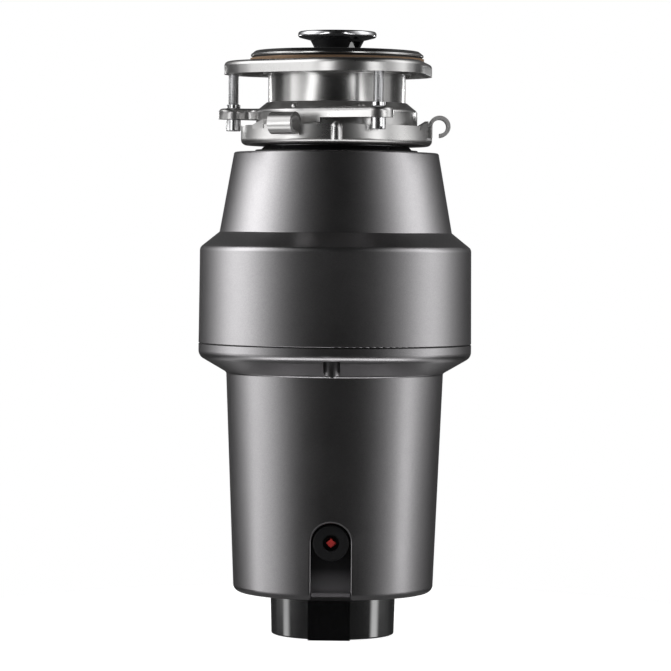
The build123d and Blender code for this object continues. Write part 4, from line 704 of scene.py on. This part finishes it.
# %% [markdown]
# ### Rubber, fibre and foam
# These scatter light instead of mirroring it. Rubber is nearly black and soft-edged,
# pressed fibre shows short tan strands, and the sound jacket is open foam.
# %% Soft materials
plastic("black_rubber", (0.016, 0.016, 0.017), rough=(0.5, 0.66), grain_depth=0.00005, dust_amount=0.3)

finishes["fibre"], tree, shader = new_finish("fibre", (0.55, 0.33, 0.18), 0.0, 0.8)
strands = add(tree, "ShaderNodeTexNoise", {
    "Vector": object_place(tree), "Scale": 700.0, "Detail": 6.0, "Distortion": 2.0}).outputs["Fac"]
wire(tree, shader, Base_Color=tint(tree, strands, (0.24, 0.14, 0.08), (0.48, 0.32, 0.20)),
     Normal=bump(tree, strands, 0.00015))

finishes["foam"], tree, shader = new_finish("foam", (0.16, 0.16, 0.17), 0.0, 0.95)
pores = add(tree, "ShaderNodeTexVoronoi", {"Vector": object_place(tree), "Scale": 600.0}).outputs["Distance"]
wire(tree, shader, Base_Color=tint(tree, pores, (0.06, 0.06, 0.065), (0.24, 0.24, 0.25)),
     Normal=bump(tree, pores, 0.0005))
print("finishes:", sorted(finishes))

# %% [markdown]
# ## Put the finishes on the CAD pieces
# The record names a material slot for each piece. The finish with the same name goes into
# the piece's own slot, and the mesh stays as it is. Three pieces look different from
# others of their slot, so they get finishes of their own.
# %% Dress the CAD pieces
slot_of = {part["node"]: part["material_slot"] for part in frame["record"]["subparts"]}
slot_of.update({"switch_panel": "panel_satin", "button_bezel": "black_matte", "lock_ring": "hooked_ring"})
for name, piece in nodes.items():
    for slot in piece.material_slots:
        slot.material = finishes[slot_of[name]]
print("dressed pieces:", len(slot_of))

# %% [markdown]
# ## Screws with real threads
# Each screw in the CAD is a plain pin with a plain head. The real ones have a helical
# thread and a rounded head, and the long ones show against the white background.
# Modelling one thread by hand and copying it would work for one size only. Here one
# Geometry Nodes tree makes every set of screws from named sizes.
# The thread is a tall cylinder with many rings, whose points move in and out with the
# height and the angle together. That is what makes it a helix and not a stack of rings.
# %% Helpers for shapes
def new_shape_tree(name, inputs):
    """An empty Geometry Nodes tree with named inputs; gives the tree, its inputs and output node."""
    tree = bpy.data.node_groups.new(name, "GeometryNodeTree")
    for label, default in inputs.items():
        kind = {float: "Float", int: "Int", tuple: "Vector", bpy.types.Material: "Material"}[type(default)]
        socket = tree.interface.new_socket(label, in_out="INPUT", socket_type="NodeSocket" + kind)
        socket.default_value = default
    tree.interface.new_socket("Geometry", in_out="OUTPUT", socket_type="NodeSocketGeometry")
    entry = tree.nodes.new("NodeGroupInput")
    leave = tree.nodes.new("NodeGroupOutput")
    return tree, entry.outputs, leave


def finish_shape(tree, leave, geometry, material):
    """The end of every tree: real geometry with its material."""
    real = add(tree, "GeometryNodeRealizeInstances", {"Geometry": geometry}).outputs[0]
    coated = add(tree, "GeometryNodeSetMaterial", {"Geometry": real, "Material": material}).outputs[0]
    tree.links.new(coated, leave.inputs[0])


def move(tree, geometry, offset):
    """Geometry moved by a vector."""
    return add(tree, "GeometryNodeTransform", {"Geometry": geometry, "Translation": offset}).outputs[0]


def reshape(tree, geometry, places):
    """Geometry with its points set to new places."""
    return add(tree, "GeometryNodeSetPosition", {"Geometry": geometry, "Position": places}).outputs[0]


def row(tree, count):
    """Some points on one spot, told apart by their numbers."""
    return add(tree, "GeometryNodeMeshLine", {"Count": count, "Offset": (0, 0, 0)}).outputs["Mesh"]


def spread(tree, factor):
    """The place of each point with its distance from the axis multiplied by a factor."""
    x, y, z = split(tree, add(tree, "GeometryNodeInputPosition").outputs[0])
    return combine(tree, X=calc(tree, "MULTIPLY", x, factor), Y=calc(tree, "MULTIPLY", y, factor), Z=z)


print("helpers:", [helper.__name__ for helper in (new_shape_tree, finish_shape, move, reshape, row, spread)])

# %% [markdown]
# The sizes of a screw are inputs of the tree, and each set gives its own. The values here
# are only the ones that a set falls back on.
# %% Inputs of the screw tree
screws, entry, leave = new_shape_tree("screw_set", {
    "Head Radius": 0.004, "Head Height": 0.003, "Head Sides": 48, "Rounding": 0.0006,
    "Recess Width": 0.0012, "Recess Depth": 0.0012, "Recess Bars": 2,
    "Shank Radius": 0.002, "Shank Length": 0.012, "Pitch": 0.0008, "Thread Depth": 0.0003,
    "Count": 1, "Circle Radius": 0.0, "First Angle": 0.0, "Place": (0.0, 0.0, 0.0), "Facing": (0.0, 0.0, 0.0),
    "Material": finishes["screw_steel"]})
x, y, z = split(screws, add(screws, "GeometryNodeInputPosition").outputs[0])
print("inputs of the screw tree:", len(entry) - 1)

# %% [markdown]
# The head is a cylinder whose radius shrinks towards its outer end, following a quarter
# circle. Six sides make a bolt head and forty-eight a round one.
# %% Rounded head
head_rings = 12
head = add(screws, "GeometryNodeMeshCylinder", {
    "Vertices": entry["Head Sides"], "Side Segments": head_rings, "Fill Segments": 3,
    "Radius": entry["Head Radius"], "Depth": entry["Head Height"]}).outputs["Mesh"]
from_end = calc(screws, "MULTIPLY_ADD", entry["Head Height"], 0.5, z)
into_curve = calc(screws, "MAXIMUM", calc(screws, "SUBTRACT", entry["Rounding"], from_end), 0.0)
rounding_squared = calc(screws, "POWER", entry["Rounding"], 2.0)
into_squared = calc(screws, "POWER", into_curve, 2.0)
reach = calc(screws, "SQRT", calc(screws, "SUBTRACT", rounding_squared, into_squared))
curved_radius = calc(screws, "ADD", calc(screws, "SUBTRACT", entry["Head Radius"], entry["Rounding"]), reach)
curved_share = calc(screws, "DIVIDE", curved_radius, entry["Head Radius"])
head = reshape(screws, head, spread(screws, curved_share))
print("rings of points along a head:", head_rings)

# %% [markdown]
# Bars are cut from the end of the head. A single bar is a slot from edge to edge. Two
# bars, a quarter turn apart, are shorter and make a cross that stays inside the head.
# %% Recess in the head
length_without_bars = 3.4
bar_length = calc(screws, "MULTIPLY", entry["Head Radius"],
                  calc(screws, "SUBTRACT", length_without_bars, entry["Recess Bars"]))
bar_size = combine(screws, X=bar_length, Y=entry["Recess Width"],
                   Z=calc(screws, "MULTIPLY", entry["Recess Depth"], 2.0))
bar = add(screws, "GeometryNodeMeshCube", {"Size": bar_size}).outputs["Mesh"]
quarter = calc(screws, "MULTIPLY", add(screws, "GeometryNodeInputIndex").outputs[0], math.pi / 2)
bars = add(screws, "GeometryNodeInstanceOnPoints", {
    "Points": row(screws, entry["Recess Bars"]), "Instance": bar,
    "Rotation": combine(screws, Z=quarter)}).outputs[0]
bars = add(screws, "GeometryNodeRealizeInstances", {"Geometry": bars}).outputs[0]
half_head_down = combine(screws, Z=calc(screws, "MULTIPLY", entry["Head Height"], -0.5))
cut = add(screws, "GeometryNodeMeshBoolean", {
    "Mesh 1": head, "Mesh 2": move(screws, bars, half_head_down)}, operation="DIFFERENCE")
head = move(screws, cut.outputs["Mesh"], half_head_down)
print("nodes for the head:", len(screws.nodes))

# %% [markdown]
# The thread has eight rings of points for each turn. The share of a turn at each point is
# its height in pitches less its angle in turns. A triangle wave of that share, flattened
# at its top and bottom, is the shape of the thread. The wave fades out at the tip, as on
# a screw that was pointed before rolling.
# %% Thread
rings_per_turn = 8.0
points_round = 24
crest_end = 0.08
root_start = 0.42
rings = calc(screws, "ROUND", calc(
    screws, "MULTIPLY", calc(screws, "DIVIDE", entry["Shank Length"], entry["Pitch"]), rings_per_turn))
thread = add(screws, "GeometryNodeMeshCylinder", {
    "Vertices": points_round, "Side Segments": rings, "Radius": entry["Shank Radius"],
    "Depth": entry["Shank Length"]}).outputs["Mesh"]
turns = calc(screws, "SUBTRACT", calc(screws, "DIVIDE", z, entry["Pitch"]),
             calc(screws, "DIVIDE", calc(screws, "ARCTAN2", y, x), 2 * math.pi))
valley = span(screws, calc(screws, "PINGPONG", turns, 0.5), crest_end, root_start)
to_tip = calc(screws, "SUBTRACT", calc(screws, "MULTIPLY", entry["Shank Length"], 0.5), z)
point = span(screws, to_tip, 0.0, entry["Pitch"], 1.0, 0.0)
depth = calc(screws, "MULTIPLY", entry["Thread Depth"], calc(screws, "MAXIMUM", valley, point))
thread_share = calc(screws, "SUBTRACT", 1.0, calc(screws, "DIVIDE", depth, entry["Shank Radius"]))
thread = reshape(screws, thread, spread(screws, thread_share))
thread = move(screws, thread, combine(screws, Z=calc(screws, "MULTIPLY", entry["Shank Length"], 0.5)))
print("nodes with the thread:", len(screws.nodes))

# %% [markdown]
# Head and thread are joined, and copies of the screw are set on a circle.
# %% Set of screws
join = add(screws, "GeometryNodeJoinGeometry")
for part in (head, thread):
    screws.links.new(part, join.inputs[0])
single = add(screws, "GeometryNodeTransform", {
    "Geometry": join.outputs[0], "Rotation": entry["Facing"]}).outputs[0]
turn_share = calc(screws, "DIVIDE", add(screws, "GeometryNodeInputIndex").outputs[0], entry["Count"])
spot = calc(screws, "MULTIPLY_ADD", turn_share, 2 * math.pi, entry["First Angle"])
on_circle = combine(screws, X=calc(screws, "MULTIPLY", calc(screws, "COSINE", spot), entry["Circle Radius"]),
                    Y=calc(screws, "MULTIPLY", calc(screws, "SINE", spot), entry["Circle Radius"]))
circle = reshape(screws, row(screws, entry["Count"]), on_circle)
placed = add(screws, "GeometryNodeInstanceOnPoints", {"Points": circle, "Instance": single}).outputs[0]
finish_shape(screws, leave, move(screws, placed, entry["Place"]), entry["Material"])
print("nodes in the screw tree:", len(screws.nodes))

# %% [markdown]
# ## Turn a tree into a plain mesh
# The export needs plain meshes, so each set is worked out once and the modifier is left
# behind. A modifier's inputs are set by their identifiers before that. The mesh is shaded
# smooth, except where two faces meet steeply.
# %% Plain mesh from a tree
sharp_degrees = 38


def grow(name, tree, body, replaced, slot, **values):
    """Run a tree with the given sizes, keep the mesh and put it on a body."""
    seed_mesh = bpy.data.meshes.new(name + "_seed")
    holder = bpy.data.objects.new(name + "_seed", seed_mesh)
    scene.collection.objects.link(holder)
    modifier = holder.modifiers.new("shape", "NODES")
    modifier.node_group = tree
    for item in tree.interface.items_tree:
        key = item.name.replace(" ", "_")
        if item.in_out == "INPUT" and key in values:
            modifier[item.identifier] = values[key]
    bpy.context.view_layer.update()
    evaluated = holder.evaluated_get(bpy.context.evaluated_depsgraph_get())
    mesh = bpy.data.meshes.new_from_object(evaluated)
    bpy.data.objects.remove(holder)
    mesh.name = name
    piece = bpy.data.objects.new(name, mesh)
    scene.collection.objects.link(piece)
    mesh.shade_smooth()
    mesh.set_sharp_from_angle(angle=math.radians(sharp_degrees))
    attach(piece, body)
    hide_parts(replaced)
    print(name, "faces:", len(mesh.polygons))
    return piece


print("edges stay sharp from degrees:", sharp_degrees)

# %% [markdown]
# ## The three long mount screws
# Each has a slotted head under an ear of the mounting ring and a thread that runs up into
# the backup flange. Turning them moves the flange. Their sizes come from the CAD piece's
# own box, so they stay where the CAD put them.
# %% Mount screws
mount_head_height = 0.0074
mount_screws = {"left": 174.1, "front": 294.1, "rear": 54.1}
for where, degrees in mount_screws.items():
    node = "mount_screw_" + where
    low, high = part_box(node)
    middle = (low + high) / 2
    long_screw = grow(
        "threaded_screw_" + where, screws, "screw_" + where, node, "screw_steel",
        Head_Radius=(high.x - low.x) / 2, Head_Height=mount_head_height, Rounding=0.0005,
        Recess_Width=0.0014, Recess_Depth=0.0018, Recess_Bars=1, Shank_Radius=0.0035,
        Shank_Length=high.z - low.z - mount_head_height, Pitch=0.001, Thread_Depth=0.00061,
        Place=(middle.x, middle.y, low.z + mount_head_height), Facing=(0.0, 0.0, math.radians(degrees)))
    mount_pieces.objects.link(long_screw)

# %% [markdown]
# ## The smaller screws
# The screws under the lip, on the hopper, at the outlet and in the foot come in sets that
# sit on a circle. Only the numbers differ.
# %% Screws under the lip and in the foot
def turned_set(name, node, **values):
    """A set of screws that stands for a CAD node of the fixed body."""
    grow(name, screws, "disposer", node, "screw_steel", **values)


low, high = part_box("housing_screws")
head_radius = 0.0042
head_height = 0.0032
turned_set("lip_screws", "housing_screws", Head_Radius=head_radius, Head_Height=head_height, Rounding=0.0008,
           Recess_Width=0.001, Recess_Depth=0.0016, Shank_Radius=0.002,
           Shank_Length=high.z - low.z - head_height, Count=4,
           Circle_Radius=(high.x - low.x) / 2 - head_radius, Place=(0.0, 0.0, low.z + head_height))

low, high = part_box("base_screws")
head_radius = 0.0032
head_height = 0.0016
first_angle = math.radians(30)
turned_set("foot_screws", "base_screws", Head_Radius=head_radius, Head_Height=head_height, Rounding=0.0004,
           Recess_Width=0.0009, Recess_Depth=0.0009, Shank_Radius=0.0018,
           Shank_Length=high.z - low.z - head_height, Count=3, First_Angle=first_angle,
           Circle_Radius=((high.x - low.x) / 2 - head_radius) / math.cos(first_angle),
           Place=(0.0, 0.0, low.z + head_height))

# %% [markdown]
# The hopper's screws point down, so their set is turned over. The outlet's two bolts have
# six-sided heads without a real recess and point to the front.
# %% Screws on the hopper and at the outlet
low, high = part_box("chamber_screws")
head_radius = 0.003
head_height = 0.003
turned_set("hopper_screws", "chamber_screws", Head_Radius=head_radius, Head_Height=head_height,
           Rounding=0.0007, Recess_Width=0.0009, Recess_Depth=0.0013, Shank_Radius=0.002,
           Shank_Length=high.z - low.z - head_height, Count=4, First_Angle=math.radians(45),
           Circle_Radius=((high.x - low.x) / 2 - head_radius) * math.sqrt(2),
           Place=(0.0, 0.0, high.z - head_height), Facing=(math.pi, 0.0, 0.0))

low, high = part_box("discharge_screws")
head_radius = 0.0043
head_height = 0.0035
turned_set("outlet_screws", "discharge_screws", Head_Radius=head_radius, Head_Height=head_height,
           Head_Sides=6, Rounding=0.0003, Recess_Bars=1, Recess_Width=0.0002, Recess_Depth=0.0002,
           Shank_Radius=0.0025, Shank_Length=high.y - low.y - head_height, Count=2,
           Circle_Radius=(high.x - low.x) / 2 - head_radius,
           Place=(0.0, high.y - head_height, (low.z + high.z) / 2), Facing=(math.pi / 2, 0.0, 0.0))

# %% [markdown]
# ## The return spring
# Behind the reset button a small coil pushes it back. The CAD has a plain tube in its
# place. A spiral curve with a round section is the quickest way to a coil. The real coil
# flattens as the button goes in; this spiral keeps an even pitch.
# %% Coil tree
coil, entry, leave = new_shape_tree("wire_coil", {
    "Coil Radius": 0.003, "Wire Radius": 0.0004, "Turns": 5.0, "Length": 0.004, "Place": (0.0, 0.0, 0.0),
    "Facing": (0.0, 0.0, 0.0), "Material": finishes["screw_steel"]})
spiral = add(coil, "GeometryNodeCurveSpiral", {
    "Resolution": 24, "Rotations": entry["Turns"], "Start Radius": entry["Coil Radius"],
    "End Radius": entry["Coil Radius"], "Height": entry["Length"]}).outputs[0]
section = add(coil, "GeometryNodeCurvePrimitiveCircle", {
    "Resolution": 10, "Radius": entry["Wire Radius"]}).outputs["Curve"]
wire_mesh = add(coil, "GeometryNodeCurveToMesh", {
    "Curve": spiral, "Profile Curve": section, "Fill Caps": True}).outputs[0]
wire_mesh = add(coil, "GeometryNodeTransform", {
    "Geometry": wire_mesh, "Translation": entry["Place"], "Rotation": entry["Facing"]}).outputs[0]
finish_shape(coil, leave, wire_mesh, entry["Material"])
print("nodes in the coil tree:", len(coil.nodes))

# %% [markdown]
# The coil takes its size from the CAD tube. Half of its length is left when the button is
# all the way in.
# %% Spring
low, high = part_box("reset_spring")
wire_radius = 0.0004
spring = grow("button_spring", coil, "disposer", "reset_spring", "screw_steel",
              Coil_Radius=(high.x - low.x) / 2 - wire_radius, Wire_Radius=wire_radius, Turns=4.0,
              Length=high.y - low.y - 2 * wire_radius, Facing=(math.pi / 2, 0.0, 0.0),
              Place=((low.x + high.x) / 2, high.y - wire_radius, (low.z + high.z) / 2))
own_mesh(spring)
